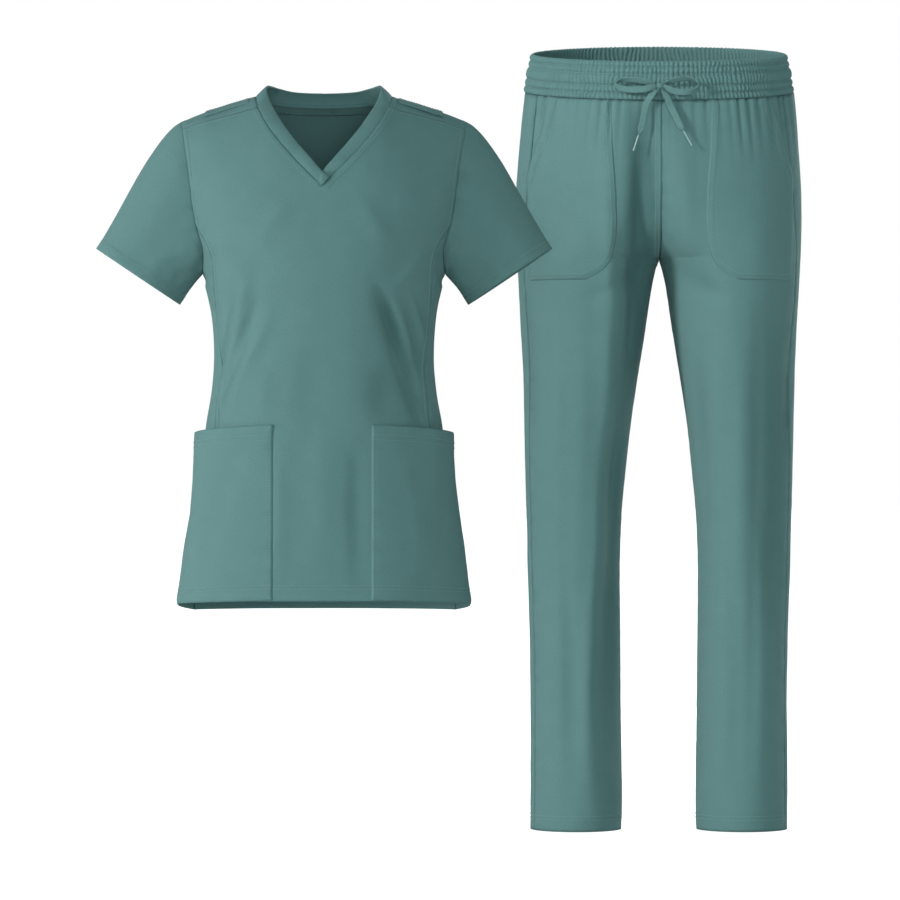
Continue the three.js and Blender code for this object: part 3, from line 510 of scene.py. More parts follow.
def makeWeaveGroup():
    # height of a fine twill: diagonal ribs crossed by finer threads, with uneven slubs over it
    group, given, result = newGroup(
        "twillWeave",
        [("NodeSocketVector", "Cloth", None), ("NodeSocketFloat", "Pitch", 0.001),
         ("NodeSocketFloat", "Weave Depth", 0.00005), ("NodeSocketFloat", "Slub Depth", 0.0001)],
        [("NodeSocketFloat", "Height"), ("NodeSocketFloat", "Tone")],
    )
    nodes, links = group.nodes, group.links
    split = nodes.new("ShaderNodeSeparateXYZ")
    links.new(given.outputs["Cloth"], split.inputs[0])
    turns = mathNode(nodes, links, "DIVIDE", 2 * math.pi, given.outputs["Pitch"])
    diagonal = mathNode(nodes, links, "ADD", split.outputs[0], split.outputs[1])
    rib = mathNode(nodes, links, "SINE", mathNode(nodes, links, "MULTIPLY", diagonal, turns))
    thread = mathNode(nodes, links, "MULTIPLY", split.outputs[0], turns)
    thread = mathNode(nodes, links, "SINE", mathNode(nodes, links, "MULTIPLY", thread, 2.0))
    both = mathNode(nodes, links, "ADD", rib, mathNode(nodes, links, "MULTIPLY", thread, 0.5))
    fine = mathNode(nodes, links, "MULTIPLY", both, given.outputs["Weave Depth"])
    slub = nodes.new("ShaderNodeTexNoise")
    slub.inputs["Scale"].default_value = 700
    slub.inputs["Detail"].default_value = 3
    links.new(given.outputs["Cloth"], slub.inputs["Vector"])
    rough = mathNode(nodes, links, "MULTIPLY", slub.outputs["Fac"], given.outputs["Slub Depth"])
    links.new(mathNode(nodes, links, "ADD", fine, rough), result.inputs["Height"])
    broad = nodes.new("ShaderNodeTexNoise")
    broad.inputs["Scale"].default_value = 38
    broad.inputs["Detail"].default_value = 6
    links.new(given.outputs["Cloth"], broad.inputs["Vector"])
    fleck = mathNode(nodes, links, "MULTIPLY", slub.outputs["Fac"], 0.82)
    tone = mathNode(nodes, links, "ADD", mathNode(nodes, links, "MULTIPLY", broad.outputs["Fac"], 0.18), fleck)
    links.new(tone, result.inputs["Tone"])
    return group


weaveGroup = makeWeaveGroup()


def makeClothMaterial(name, pitch, depth, slub, dark, light):
    # matt cloth with a soft sheen, its threads as a bump and its tone slightly uneven
    material = bpy.data.materials.new(name)
    material.use_nodes = True
    nodes, links = material.node_tree.nodes, material.node_tree.links
    shader = nodes["Principled BSDF"]
    shader.inputs["Roughness"].default_value = 0.85
    shader.inputs["Specular IOR Level"].default_value = 0.10
    shader.inputs["Sheen Weight"].default_value = 0.05
    shader.inputs["Sheen Roughness"].default_value = 0.45
    shader.inputs["Sheen Tint"].default_value = (0.75, 0.9, 0.88, 1)
    uv = nodes.new("ShaderNodeUVMap")
    uv.uv_map = "clothMap"
    weave = nodes.new("ShaderNodeGroup")
    weave.node_tree = weaveGroup
    weave.inputs["Pitch"].default_value = pitch
    weave.inputs["Weave Depth"].default_value = depth
    weave.inputs["Slub Depth"].default_value = slub
    links.new(uv.outputs["UV"], weave.inputs["Cloth"])
    ramp = nodes.new("ShaderNodeValToRGB")
    ramp.color_ramp.elements[0].position = 0.3
    ramp.color_ramp.elements[0].color = (*dark, 1)
    ramp.color_ramp.elements[1].position = 0.7
    ramp.color_ramp.elements[1].color = (*light, 1)
    links.new(weave.outputs["Tone"], ramp.inputs["Fac"])
    # painted shade: the colour is multiplied towards the shade colour by each point's stored share
    paintedShadeShare = nodes.new("ShaderNodeAttribute")
    paintedShadeShare.attribute_name = "paintedShadeShare"
    shade = nodes.new("ShaderNodeMix")
    shade.data_type = "RGBA"
    shade.blend_type = "MULTIPLY"
    shade.inputs[7].default_value = (*cloth["paintedShadeColour"], 1)
    links.new(paintedShadeShare.outputs["Fac"], shade.inputs[0])
    links.new(ramp.outputs["Color"], shade.inputs[6])
    links.new(shade.outputs[2], shader.inputs["Base Color"])
    bump = nodes.new("ShaderNodeBump")
    bump.inputs["Distance"].default_value = 1.0
    bump.inputs["Strength"].default_value = 0.8
    links.new(weave.outputs["Height"], bump.inputs["Height"])
    links.new(bump.outputs["Normal"], shader.inputs["Normal"])
    return material


def makeTipMaterial():
    # satin metal tube, a little duller where it is pressed
    material = bpy.data.materials.new("cordTip")
    material.use_nodes = True
    nodes, links = material.node_tree.nodes, material.node_tree.links
    shader = nodes["Principled BSDF"]
    shader.inputs["Base Color"].default_value = (*tipFinish["colour"], 1)
    shader.inputs["Metallic"].default_value = tipFinish["metal"]
    coordinates = nodes.new("ShaderNodeTexCoord")
    noise = nodes.new("ShaderNodeTexNoise")
    noise.inputs["Scale"].default_value = 900
    links.new(coordinates.outputs["Object"], noise.inputs["Vector"])
    spread = nodes.new("ShaderNodeMapRange")
    spread.inputs["To Min"].default_value = tipFinish["roughness"] - 0.08
    spread.inputs["To Max"].default_value = tipFinish["roughness"] + 0.12
    links.new(noise.outputs["Fac"], spread.inputs["Value"])
    links.new(spread.outputs["Result"], shader.inputs["Roughness"])
    return material


scrubCloth = makeClothMaterial(
    "scrubCloth", cloth["threadPitch"], cloth["weaveDepth"], cloth["slubDepth"], cloth["dark"], cloth["light"])
sewingThread = makeClothMaterial(
    "sewingThread", 0.4 * mm, 0.02 * mm, 0.02 * mm, cloth["threadDark"], cloth["threadLight"])
drawstringBraid = makeClothMaterial(
    "drawstringBraid", 1.4 * mm, 0.3 * mm, 0.1 * mm, cloth["cordDark"], cloth["cordLight"])
tipMetal = makeTipMaterial()
print("materials made")


# Flat drawstring: x and z across the waistband's front, lift is how far the cord stands off
leg = {
    "z": [-920, -878, -751, -675, -589, -513, -452, -391, -330, -269, -231, -205, -193, -188, -178,
          -160, -135, -105, -69, -28, 5, 40],
    "outer": [162.5, 163, 162.4, 163.6, 166.2, 168, 170, 171.2, 172.5, 175.6, 177.6, 179, 179.5,
              179.8, 180.2, 180.6, 181, 180.7, 178.5, 174, 169, 165],
    "inner": [48, 46.5, 48.2, 48.8, 49.5, 47, 41.2, 34.2, 24.8, 15.2, 9.5, 4, 0, 0, 0, 0, 0, 0, 0, 0, 0, 0],
    "front": [71, 70, 68, 67, 67, 69, 72, 77, 83, 89, 94, 98, 100, 101, 102, 104, 105, 106, 104, 100, 96, 94],
    "back": [73, 72, 70, 69, 70, 73, 77, 83, 91, 100, 106, 111, 113, 114, 115, 117, 118, 117, 112, 104, 98, 96],
    "apart": [1, 1, 1, 1, 1, 1, 1, 1, 1, 1, 1, 1, 1, 0.93, 0.80, 0.60, 0.36, 0.16, 0.04, 0, 0, 0],
}
trousers = {"x": 421, "y": 160, "hem": -914, "crotch": -193, "rise": 20, "tilt": 0.17, "fade": 60}
trousersPlace = np.array([trousers["x"], trousers["y"], 0.0])
cord = {"width": 8, "thick": 1.5, "bandProud": 3.5, "legProud": 0.6, "routePoints": 36}
knot = {"x": -3, "z": 21.5, "lift": 5.6, "wide": 9, "high": 6.5, "deep": 5}
# x, z, how far it stands off, and its turn about its own length in degrees, 0 broad side out
routes = {
    "loop_left": [
        (-7.9, 21.3, 5.6, 24), (-22, 17, 8, 8), (-40, 16.5, 9, 12), (-53, 19, 8, 38), (-58.5, 23.5, 6, 78),
        (-52, 28, 5, 122), (-36, 29, 4.6, 146), (-20, 26.5, 4, 150), (-9.5, 23.5, 3, 130)],
    "loop_right": [
        (1.9, 21.3, 5.6, -40), (14, 15, 8, -26), (28, 13, 9, -24), (40, 15, 8, -46), (46.5, 22, 6.5, -82),
        (39, 29, 6, -118), (27, 30.5, 5.6, -138), (13, 27.5, 4.6, -140), (3.5, 24, 3, -120)],
    "tail_left": [
        (-7, 15.5, 3.6, -32), (-14.5, 7.5, 5, -22), (-19.5, -2, 6, -6), (-22.5, -15, 6.6, 8), (-25, -28, 6.4, 10),
        (-29, -40, 5.6, 14)],
    "tail_right": [
        (1, 15, 3.6, 26), (6.5, 6.5, 5, 12), (11, -4, 6.4, 4), (16.5, -15, 7.4, 0), (21, -25, 7.6, -6),
        (27, -35.5, 7.4, -4)],
}
tip = {"radius": 1.1, "long": 21, "gap": 0.4, "sides": 16}


def frontDepth(x, z):
    # the legs' ellipse at that height, standing out a little more where the band is gathered
    row = np.minimum(z - 4, 0)
    half = read(leg, "z", row, "outer")
    depth = read(leg, "z", row, "front") + np.where(z > 4, cord["bandProud"], cord["legProud"])
    return -depth * np.sqrt(1 - (x / half) ** 2)


def routePoints(route):
    # places along the cord, and its turn there in radians as a fourth column
    x, z, lift, turn = np.array(route, float).T
    return np.stack([x, frontDepth(x, z) - lift, z, np.radians(turn)], axis=1)


def smoothRoute(points, steps):
    # centripetal spline: each stretch is a cubic whose slopes come from its neighbours
    points = np.vstack([2 * points[0] - points[1], points, 2 * points[-1] - points[-2]])
    pieces = []
    for k in range(1, len(points) - 2):
        p0, p1, p2, p3 = points[k - 1:k + 3]
        d0, d1, d2 = (np.linalg.norm(b - a) ** 0.5 for a, b in ((p0, p1), (p1, p2), (p2, p3)))
        leave = ((p1 - p0) / d0 - (p2 - p0) / (d0 + d1) + (p2 - p1) / d1) * d1
        arrive = ((p2 - p1) / d1 - (p3 - p1) / (d1 + d2) + (p3 - p2) / d2) * d1
        t = np.linspace(0, 1, steps, endpoint=False)[:, None]
        cubic = (2 * p1 - 2 * p2 + leave + arrive) * t ** 3
        pieces.append(cubic + (-3 * p1 + 3 * p2 - 2 * leave - arrive) * t ** 2 + leave * t + p1)
    return np.vstack([*pieces, points[-2]])


def makeFlatCord(name, route):
    # rounded flat section carried along the route, turned about it, narrower where it is held
    path = smoothRoute(routePoints(route), 14)
    turn = path[:, 3:]
    path = path[:, :3]
    along = unit(np.gradient(path, axis=0))
    flatFront = unit(np.array([0.0, -1.0, 0.0]) + along * along[:, 1:2])
    flatAcross = np.cross(along, flatFront)
    across = flatAcross * np.cos(turn) + flatFront * np.sin(turn)
    front = flatFront * np.cos(turn) - flatAcross * np.sin(turn)
    turns = np.linspace(0, 2 * math.pi, 25)
    wide = np.sign(np.cos(turns)) * np.abs(np.cos(turns)) ** 0.7 * cord["width"] / 2
    thick = np.sign(np.sin(turns)) * np.abs(np.sin(turns)) ** 0.55 * cord["thick"] / 2
    thick = thick * (1 - 0.22 * np.exp(-(wide / 0.9) ** 2))  # the braid's middle is a little lower
    walked = alongPath(path)
    left = walked[-1] - walked
    held = 0.6 + 0.4 * smoothStep(0, 8, walked)
    held = held * ((0.3 + 0.7 * smoothStep(0, 8, left)) if name.startswith("tail")
                   else (0.6 + 0.4 * smoothStep(0, 8, left)))
    edge = (held * (1 + 0.02 * np.sin(walked * 2.1)))[:, None] * np.ones_like(wide)
    grid = path[:, None] + across[:, None] * (wide * edge)[..., None] + front[:, None] * thick[None, :, None]
    ends = [np.repeat(grid[k].mean(axis=0)[None, None], len(turns), axis=1) for k in (0, -1)]
    grid = np.concatenate([ends[0], grid, ends[1]]) + trousersPlace
    chart = np.stack(np.broadcast_arrays(wide[None, :], np.concatenate([[0], walked, [walked[-1]]])[:, None]), 2)
    points, maps, quads = joinGrids([(grid, chart, True)])
    piece = makeObject("braid_" + name, points, quads, maps, drawstringBraid, "drawstring_" + name)
    return piece, evenPath(path + trousersPlace, count=cord["routePoints"])


def makeKnot():
    # two crossed wraps of the flat cord over a small core
    centre = np.array([knot["x"], frontDepth(knot["x"], knot["z"]) - knot["lift"], knot["z"]]) + trousersPlace
    u = np.linspace(0, 2 * math.pi, 49)
    v = np.linspace(0, math.pi, 25)
    v, u = np.meshgrid(v, u, indexing="ij")
    wrap = 0.86 + 0.14 * np.abs(np.sin(u * 1.5 + v * 0.9)) ** 0.5
    swell = 1 + 0.06 * np.cos(3 * u + 1)
    grid = np.stack([
        knot["wide"] / 2 * np.sin(v) ** 0.8 * np.cos(u) * wrap * swell,
        knot["deep"] / 2 * np.sin(v) ** 0.8 * np.sin(u) * wrap,
        knot["high"] / 2 * np.cos(v) * (0.92 + 0.08 * wrap),
    ], axis=2) + centre
    chart = np.stack([u * knot["wide"] / 2, v * knot["high"] / 2], axis=2)
    points, maps, quads = joinGrids([(grid, chart, True)])
    return makeObject("braid_knot", points, quads, maps, drawstringBraid, "drawstring_knot")


def makeTip(name, route):
    # narrow crimped tube carried on from the end of the cord
    before, last = routePoints(route)[-2:, :3]
    along = (last - before) / np.linalg.norm(last - before)
    across = unit(np.cross(along, [0.0, 1.0, 0.0]))
    up = np.cross(across, along)
    stations = np.array([0, 0, 0.4, 1.2, 6.6, 7.0, 7.6, 8.0, 13.4, 13.8, 14.4, 14.8, 20.0, 20.7, 21.0, 21.0])
    radii = np.array([0, 0.85, 1.08, 1.1, 1.1, 0.94, 0.94, 1.1, 1.1, 0.94, 0.94, 1.1, 1.1, 0.95, 0.7, 0])
    turns = np.linspace(0, 2 * math.pi, tip["sides"] + 1)
    circle = np.cos(turns)[:, None] * across + np.sin(turns)[:, None] * up
    start = last + along * tip["gap"] + trousersPlace
    grid = start + stations[:, None, None] * along + radii[:, None, None] * circle[None]
    chart = np.stack(np.broadcast_arrays(turns[None, :], stations[:, None]), 2)
    points, maps, quads = joinGrids([(grid, chart, True)])
    return makeObject("metal_tip_" + name, points, quads, maps, tipMetal, "tip_" + name)


def makeDrawstring():
    # the knot first, then each loop and tail of the cord, with a metal tip at the end of each tail
    knotPiece = makeKnot()
    for name, route in routes.items():
        piece, path = makeFlatCord(name, route)
        tail = name.startswith("tail")
        ends = [makeTip(name[5:], route)] if tail else [knotPiece] if name == "loop_left" else []
        print("cord", name, "length", round(float(alongPath(path)[-1]), 1), "mm")
    return knotPiece


makeDrawstring()
print("drawstring made")


# Top: half width and depth at each height, shoulder ridge, side seams and armholes
torso = {
    "z": [-640, -560, -500, -450, -407, -362, -317, -265, -226, -190, -157, -105, -60, -10, 30],
    "half": [184, 170, 157.5, 151, 147, 139.5, 136.4, 140, 148.2, 156, 165, 177, 187, 196, 200],
    "front": [119, 116, 113, 111, 110, 109, 111, 118, 123, 124, 122, 110, 99, 92, 88],
    "back": [111, 106, 101, 96, 92, 88, 86, 92, 100, 104, 105, 101, 93, 86, 82],
}
ridge = {
    "x": [0, 40, 70, 85, 101, 129, 152, 180, 200],
    "z": [18, 16, 10, 4, -1.5, -10.3, -17.5, -29, -38],
}
sideSeam = {
    "z": [-640, -500, -409, -380, -345, -305, -270, -232, -200, -180, -157],
    "x": [165, 142, 132, 128, 125.5, 127.5, 131, 134, 136, 143, 157],
}
armhole = {
    "z": [-217, -190, -157, -138, -98, -67, -40, -28],
    "x": [150.5, 148.5, 157, 160.5, 165.5, 170, 174.5, 178.5],
}
top = {
    "shoulderDrop": 130, "power": 2.25, "hemCentre": -626, "hemTilt": 0.065, "hemReach": 112,
    "sideTop": -157, "armpitDrop": 60, "sideRingTop": -232, "crowding": 1.35,
    "wall": 1.6, "bandWall": 2.2, "pitch": 2.7, "backPitch": 3.6, "sidePitch": 3.0,
}
cuff = {"x": 231, "z": -219, "y": 4, "along": 62.5, "deep": 46, "tipX": 0.83, "tipZ": 0.557, "pitch": 2.6}

# x0, z0, x1, z1, width and height of the solids' own folds
torsoFrontFolds = [
    (-137, -404, -100, -290, 9, 3.5), (-128, -390, -78, -205, 10, -3.5), (-116, -400, -62, -262, 9, 2.5),
    (70, -236, 100, -320, 9, -4), (98, -315, 124, -405, 9, -5), (86, -240, 112, -320, 8, 3),
    (112, -330, 134, -400, 8, 3), (-73, -330, -76, -398, 14, 2.5), (76, -330, 70, -398, 14, -2.5),
]
torsoBackFolds = [
    (-110, -240, -45, -330, 12, -3.5), (108, -250, 40, -325, 12, -3), (-122, -290, -50, -362, 10, 3),
    (60, -350, 82, -520, 16, 3), (-62, -370, -80, -530, 16, 2.5),
]

# Finer drape of the front: x0, z0, bend x, bend z, x1, z1, width, height, lean
torsoFrontDrape = [
    (-134, -406, -106, -326, -76, -256, 4.5, 1.9, 0.2), (-114, -352, -94, -304, -78, -240, 6, -1.8, 0.1),
    (-122, -330, -108, -276, -92, -228, 5, 1.5, 0.2), (-128, -350, -114, -300, -100, -250, 5, -1.4, 0.1),
    (66, -226, 84, -300, 122, -408, 8, -2.4, -0.2), (88, -306, 104, -352, 129, -412, 3.4, 2.0, 0.3),
    (106, -242, 116, -274, 127, -306, 3.4, 1.7, 0.3), (98, -250, 110, -290, 126, -350, 6, -1.8, 0.0),
    (-126, -385, -118, -310, -88, -246, 5, 1.4, 0.3), (-132, -372, -124, -300, -104, -240, 4, -1.2, -0.2),
    (-112, -392, -98, -330, -70, -290, 5, 0.9, 0.3), (74, -250, 92, -300, 112, -352, 5, -1.3, 0.2),
    (92, -262, 108, -310, 124, -372, 4.5, 1.2, -0.3), (104, -300, 118, -340, 129, -392, 4, -1.1, 0.2),
    (128, -180, 110, -215, 84, -240, 9, 1.6, 0.2), (-130, -176, -112, -206, -92, -226, 9, 1.4, 0.2),
    (-40, -126, -62, -160, -92, -190, 12, 1.1, 0.1), (42, -122, 62, -158, 92, -188, 12, 1.1, -0.1),
    (-55, -430, -50, -500, -58, -610, 11, 1.2, 0.2), (42, -420, 38, -500, 46, -612, 12, -1.3, 0.1),
    (4, -390, -4, -470, 2, -600, 16, 0.9, 0.0), (-20, -300, -12, -360, -24, -430, 16, -0.7, 0.0),
]
torsoBackDrape = [
    (-90, -210, -60, -260, -20, -290, 8, -1.5, 0.2), (92, -222, 58, -270, 16, -296, 8, -1.4, -0.2),
    (-100, -262, -60, -306, -8, -322, 7, 1.4, 0.2), (104, -270, 66, -312, 10, -330, 7, 1.3, 0.1),
    (-30, -340, -36, -430, -28, -600, 14, -1.5, 0.1), (34, -350, 40, -450, 36, -605, 15, 1.5, 0.1),
    (100, -360, 104, -460, 112, -600, 12, -1.6, 0.2), (-104, -380, -110, -480, -116, -600, 12, 1.5, 0.2),
    (-70, -60, -40, -90, 0, -96, 14, -1.0, 0.0), (70, -62, 40, -92, 4, -98, 14, -1.0, 0.0),
]


drapeGain = 2.1  # the finer folds as a whole are this much deeper than listed
# painted shade: troughs darken the cloth's colour by up to this share
trough = {"depth": 9.0, "share": 0.6}  # a trough this deep is shaded by this share


def troughShade(points, folds, drapes):
    # painted shade: how deep in the larger troughs each point lies, as the share of its colour that is darkened
    depth = foldHeight(folds, points[:, 0], points[:, 2])
    depth = depth + drapeGain * curvedFolds(drapes, points[:, 0], points[:, 2])
    return np.clip(-depth / trough["depth"], 0, 1) * trough["share"]


def pushOut(x, y, z, half, depth, frontFolds, backFolds, frontDrape, backDrape):
    # outward is the ellipse's own direction; folds of front and back mix over the sides
    share = np.clip(0.5 - y / 40, 0, 1)
    height = (foldHeight(frontFolds, x, z) + drapeGain * curvedFolds(frontDrape, x, z)) * share
    height = height + (foldHeight(backFolds, x, z) + drapeGain * curvedFolds(backDrape, x, z)) * (1 - share)
    outward = unit(np.stack([x / half ** 2, y / depth ** 2, np.zeros_like(x)], axis=-1))
    return np.stack([x, y, z], axis=-1) + outward * height[..., None]


def torsoPoint(x, turn):
    # turn 0 is the shoulder ridge, positive in front; past a quarter turn it runs straight down
    x, turn = np.broadcast_arrays(np.asarray(x, float), np.asarray(turn, float))
    size = np.abs(turn)
    over = size < quarterTurn
    fall = np.where(over, 1 - np.cos(size), 1 + size - quarterTurn)
    swell = np.where(over, np.sin(size), 1.0)
    z = read(ridge, "x", np.abs(x), "z") - top["shoulderDrop"] * fall
    half = read(torso, "z", z, "half")
    depth = np.where(turn > 0, read(torso, "z", z, "front"), read(torso, "z", z, "back"))
    power = top["power"]
    curve = (1 - np.clip(np.abs(x) / half, 0, 1) ** power) ** (1 / power)
    y = np.where(turn > 0, -1, 1) * depth * curve * swell
    return pushOut(x, y, z, half, depth, torsoFrontFolds, torsoBackFolds, torsoFrontDrape, torsoBackDrape)


def turnAt(x, z, face):
    fall = np.maximum((read(ridge, "x", np.abs(x), "z") - z) / top["shoulderDrop"], 0)
    return face * np.where(fall < 1, np.arccos(1 - np.minimum(fall, 1)), quarterTurn + fall - 1)


def ringPoint(side, angle, z):
    # the upright tube below the armpits: a rounded ellipse by angle from the side
    angle, z = np.broadcast_arrays(np.asarray(angle, float), np.asarray(z, float))
    half = read(torso, "z", z, "half")
    depth = np.where(angle > 0, read(torso, "z", z, "front"), read(torso, "z", z, "back"))
    power = 2 / top["power"]
    x = side * half * np.maximum(np.cos(angle), 0) ** power
    y = -np.sign(angle) * depth * np.abs(np.sin(angle)) ** power
    return pushOut(x, y, z, half, depth, torsoFrontFolds, torsoBackFolds, torsoFrontDrape, torsoBackDrape)


def ringAngle(x, z):
    share = np.clip(x / read(torso, "z", z, "half"), 0, 1)
    return np.arccos(share ** (top["power"] / 2))


def hemHeight(face):
    return top["hemCentre"] + top["hemTilt"] * face * top["hemReach"]


def crowded(share):
    return np.sin(share * top["crowding"]) / math.sin(top["crowding"])


# Neck seam and the band's free edge, from the V to the shoulder seam and round to the back
neckFront = {
    "x": [0, 10, 30, 45, 58.5, 72, 81], "z": [-111, -101, -81, -64.5, -48, -28, -11],
    "edgeX": [0, 0, 18.5, 31.5, 44, 56.5, 65.5], "edgeY": [3, 3, 4, 5, 6, 7, 7],
    "edgeZ": [-93, -93, -71, -56, -39.5, -20.5, -4],
}
neckRidge = {"x": [83.5, 84.5], "turn": [0.24, 0], "edgeX": [71, 70.8], "edgeY": [5, 0], "edgeZ": [12.5, 17.8]}
neckBack = {
    "x": [80, 66, 44, 22, 0], "z": [3, -0.5, -3, -4, -4.5],
    "edgeX": [66, 57, 40, 20.5, 0], "edgeY": [-3, -5, -5, -5, -5], "edgeZ": [18.3, 16.2, 12.6, 11.2, 10.8],
}


def edgeRows(rows):
    # numbered rows of an edge: x, z, turn and whether the row goes by its turn
    x, z, turn, over = (np.array(column, float) for column in zip(*rows))
    return {"at": np.arange(len(x)), "x": x, "z": z, "turn": turn, "over": over}


def byHeight(x, z, face):
    return (x, z, float(turnAt(np.array(x), np.array(z), face)), 0)


def byTurn(x, turn):
    z = float(read(ridge, "x", np.array(x), "z")) - top["shoulderDrop"] * (1 - math.cos(turn))
    return (x, z, turn, 1)


def armholeRow(z, face):
    return byHeight(float(read(armhole, "z", np.array(z), "x")), z, face)


frontOuter = edgeRows([armholeRow(z, 1) for z in (-157, -133, -111, -98, -83, -69, -57, -46)]
                      + [byTurn(174.5, 0.4)])
backOuter = edgeRows(
    [armholeRow(z, -1) for z in (-157, -140, -122, -105, -89, -75, -63, -53, -45, -38.5, -33)]
    + [byTurn(178.5, 0.0), byTurn(176.5, 0.2), byTurn(174.5, 0.4)])
frontInner = edgeRows([byHeight(0, -157, 1), byHeight(0, -133, 1)]
                      + [byHeight(x, z, 1) for x, z in zip(neckFront["x"], neckFront["z"])])
backInner = edgeRows(
    [byHeight(0, z, -1) for z in (-157, -130, -103, -76, -50, -27)]
    + [byHeight(x, z, -1) for x, z in zip(neckBack["x"][::-1], neckBack["z"][::-1])]
    + [byTurn(84.5, 0.0), byTurn(83.5, 0.24), byHeight(81, -11, 1)])


def readEdge(rows, at, column, corner=None):
    # smooth along the edge, but with a corner left sharp
    if corner is None:
        return read(rows, "at", at, column)
    low = {"at": rows["at"][:corner + 1], column: rows[column][:corner + 1]}
    high = {"at": rows["at"][corner:], column: rows[column][corner:]}
    return np.where(at < corner, read(low, "at", at, column), read(high, "at", at, column))


def fanGrid(side, face, inner, outer, columns, perRow, corner):
    # rows between inner and outer edge, by height low down and by turn over the shoulder
    at = np.linspace(0, len(inner["at"]) - 1, (len(inner["at"]) - 1) * perRow + 1)[:, None]
    share = crowded(np.linspace(0, 1, columns + 1))[None, :]
    ends = {}
    for column in ("x", "z", "turn"):
        ends[column] = (readEdge(inner, at, column, corner), read(outer, "at", at, column))
    x = lerp(*ends["x"], share)
    over = np.maximum(np.interp(at, inner["at"], inner["over"]), np.interp(at, outer["at"], outer["over"]))
    byTheHeight = turnAt(x, lerp(*ends["z"], share), face)
    turn = lerp(byTheHeight, lerp(*ends["turn"], share), over)
    return torsoPoint(side * x, turn)


def levelGrid(face, columns, heights):
    # level rows of the whole front or back, from the hem up to where the side panels end
    share = np.linspace(-1, 1, 2 * columns + 1)[None, :]
    z = heights[:, None]
    x = np.sign(share) * crowded(np.abs(share)) * read(sideSeam, "z", z, "x")
    return torsoPoint(x, turnAt(x, z, face))


# What a seam does to the cloth beside it, in millimetres
seamShape = {
    "roll": 0.5, "rollWidth": 1.1,  # the cloth turns in at the seam itself
    "fold": 0.3, "foldReach": 8.0,  # the allowance underneath lifts it a little
    "dent": 0.32, "dentWidth": 1.1,  # each row of stitches draws it in
    "pucker": 0.22, "puckerLength": 9.0, "puckerReach": 13.0,
}


def seamRelief(points, seams, seed):
    # sum over the seams of roll, allowance, stitch dents and puckers, each by distance
    total = np.zeros(len(points))
    for number, (path, rows, roll) in enumerate(seams):
        away, walked = nearestOnPath(points, path)
        total -= roll * seamShape["roll"] * np.exp(-(away / seamShape["rollWidth"]) ** 2)
        if rows:
            reach = max(rows) + 1.5
            total += seamShape["fold"] * (1 - smoothStep(reach - 2, reach + 2, away))
        for row in rows:
            total -= seamShape["dent"] * np.exp(-((away - row) / seamShape["dentWidth"]) ** 2)
        wave = unevenness(walked, np.full_like(walked, seed * 7.3 + number * 31), seamShape["puckerLength"], seed)
        total += seamShape["pucker"] * wave * np.exp(-(away / seamShape["puckerReach"]) ** 2)
    return total


def drape(points, seed, broad=0.55, fine=0.16):
    # slow unevenness over the whole piece, laid out on the front and side views together
    flat = points[:, 0] + 0.8 * points[:, 1]
    height = broad * unevenness(flat, points[:, 2], 58, seed)
    height = height + 0.5 * broad * unevenness(flat, points[:, 2] * 0.6, 27, seed + 1)
    return height + fine * unevenness(flat, points[:, 2] * 0.7, 11, seed + 2)


def makePanel(node, grids, wall, seams, seed, broad=0.55, fine=0.16, held=True, extra=None,
              paintedShadeOf=None):
    # a cut piece of cloth: grids joined, relief pushed out along the normals, then the wall;
    # where its edges are held, the slow unevenness dies out towards every seam
    points, maps, quads = joinGrids([(grid, chartOf(grid), turned) for grid, turned in grids])
    normals = pointNormals(points, quads)
    height = drape(points, seed, broad, fine)
    if held:
        for path, _rows, _roll in seams:
            height = height * smoothStep(-0.5, 9.0, nearestOnPath(points, path)[0])
    relief = seamRelief(points, seams, seed)
    height = height + relief
    if extra is not None:
        height = height + extra(points)
    # painted shade: darker where a seam rolls in, plus the painted shade passed in for troughs and gathers
    paintedShade = np.clip(-relief * 0.9, 0, 0.6)
    if paintedShadeOf is not None:
        paintedShade = paintedShade + paintedShadeOf(points)
    points = points + normals * height[:, None]
    piece = makeObject(node + "_cloth", points, quads, maps, scrubCloth, node, paintedShadeShare=np.clip(paintedShade, 0, 1))
    addWall(piece, wall)
    return piece


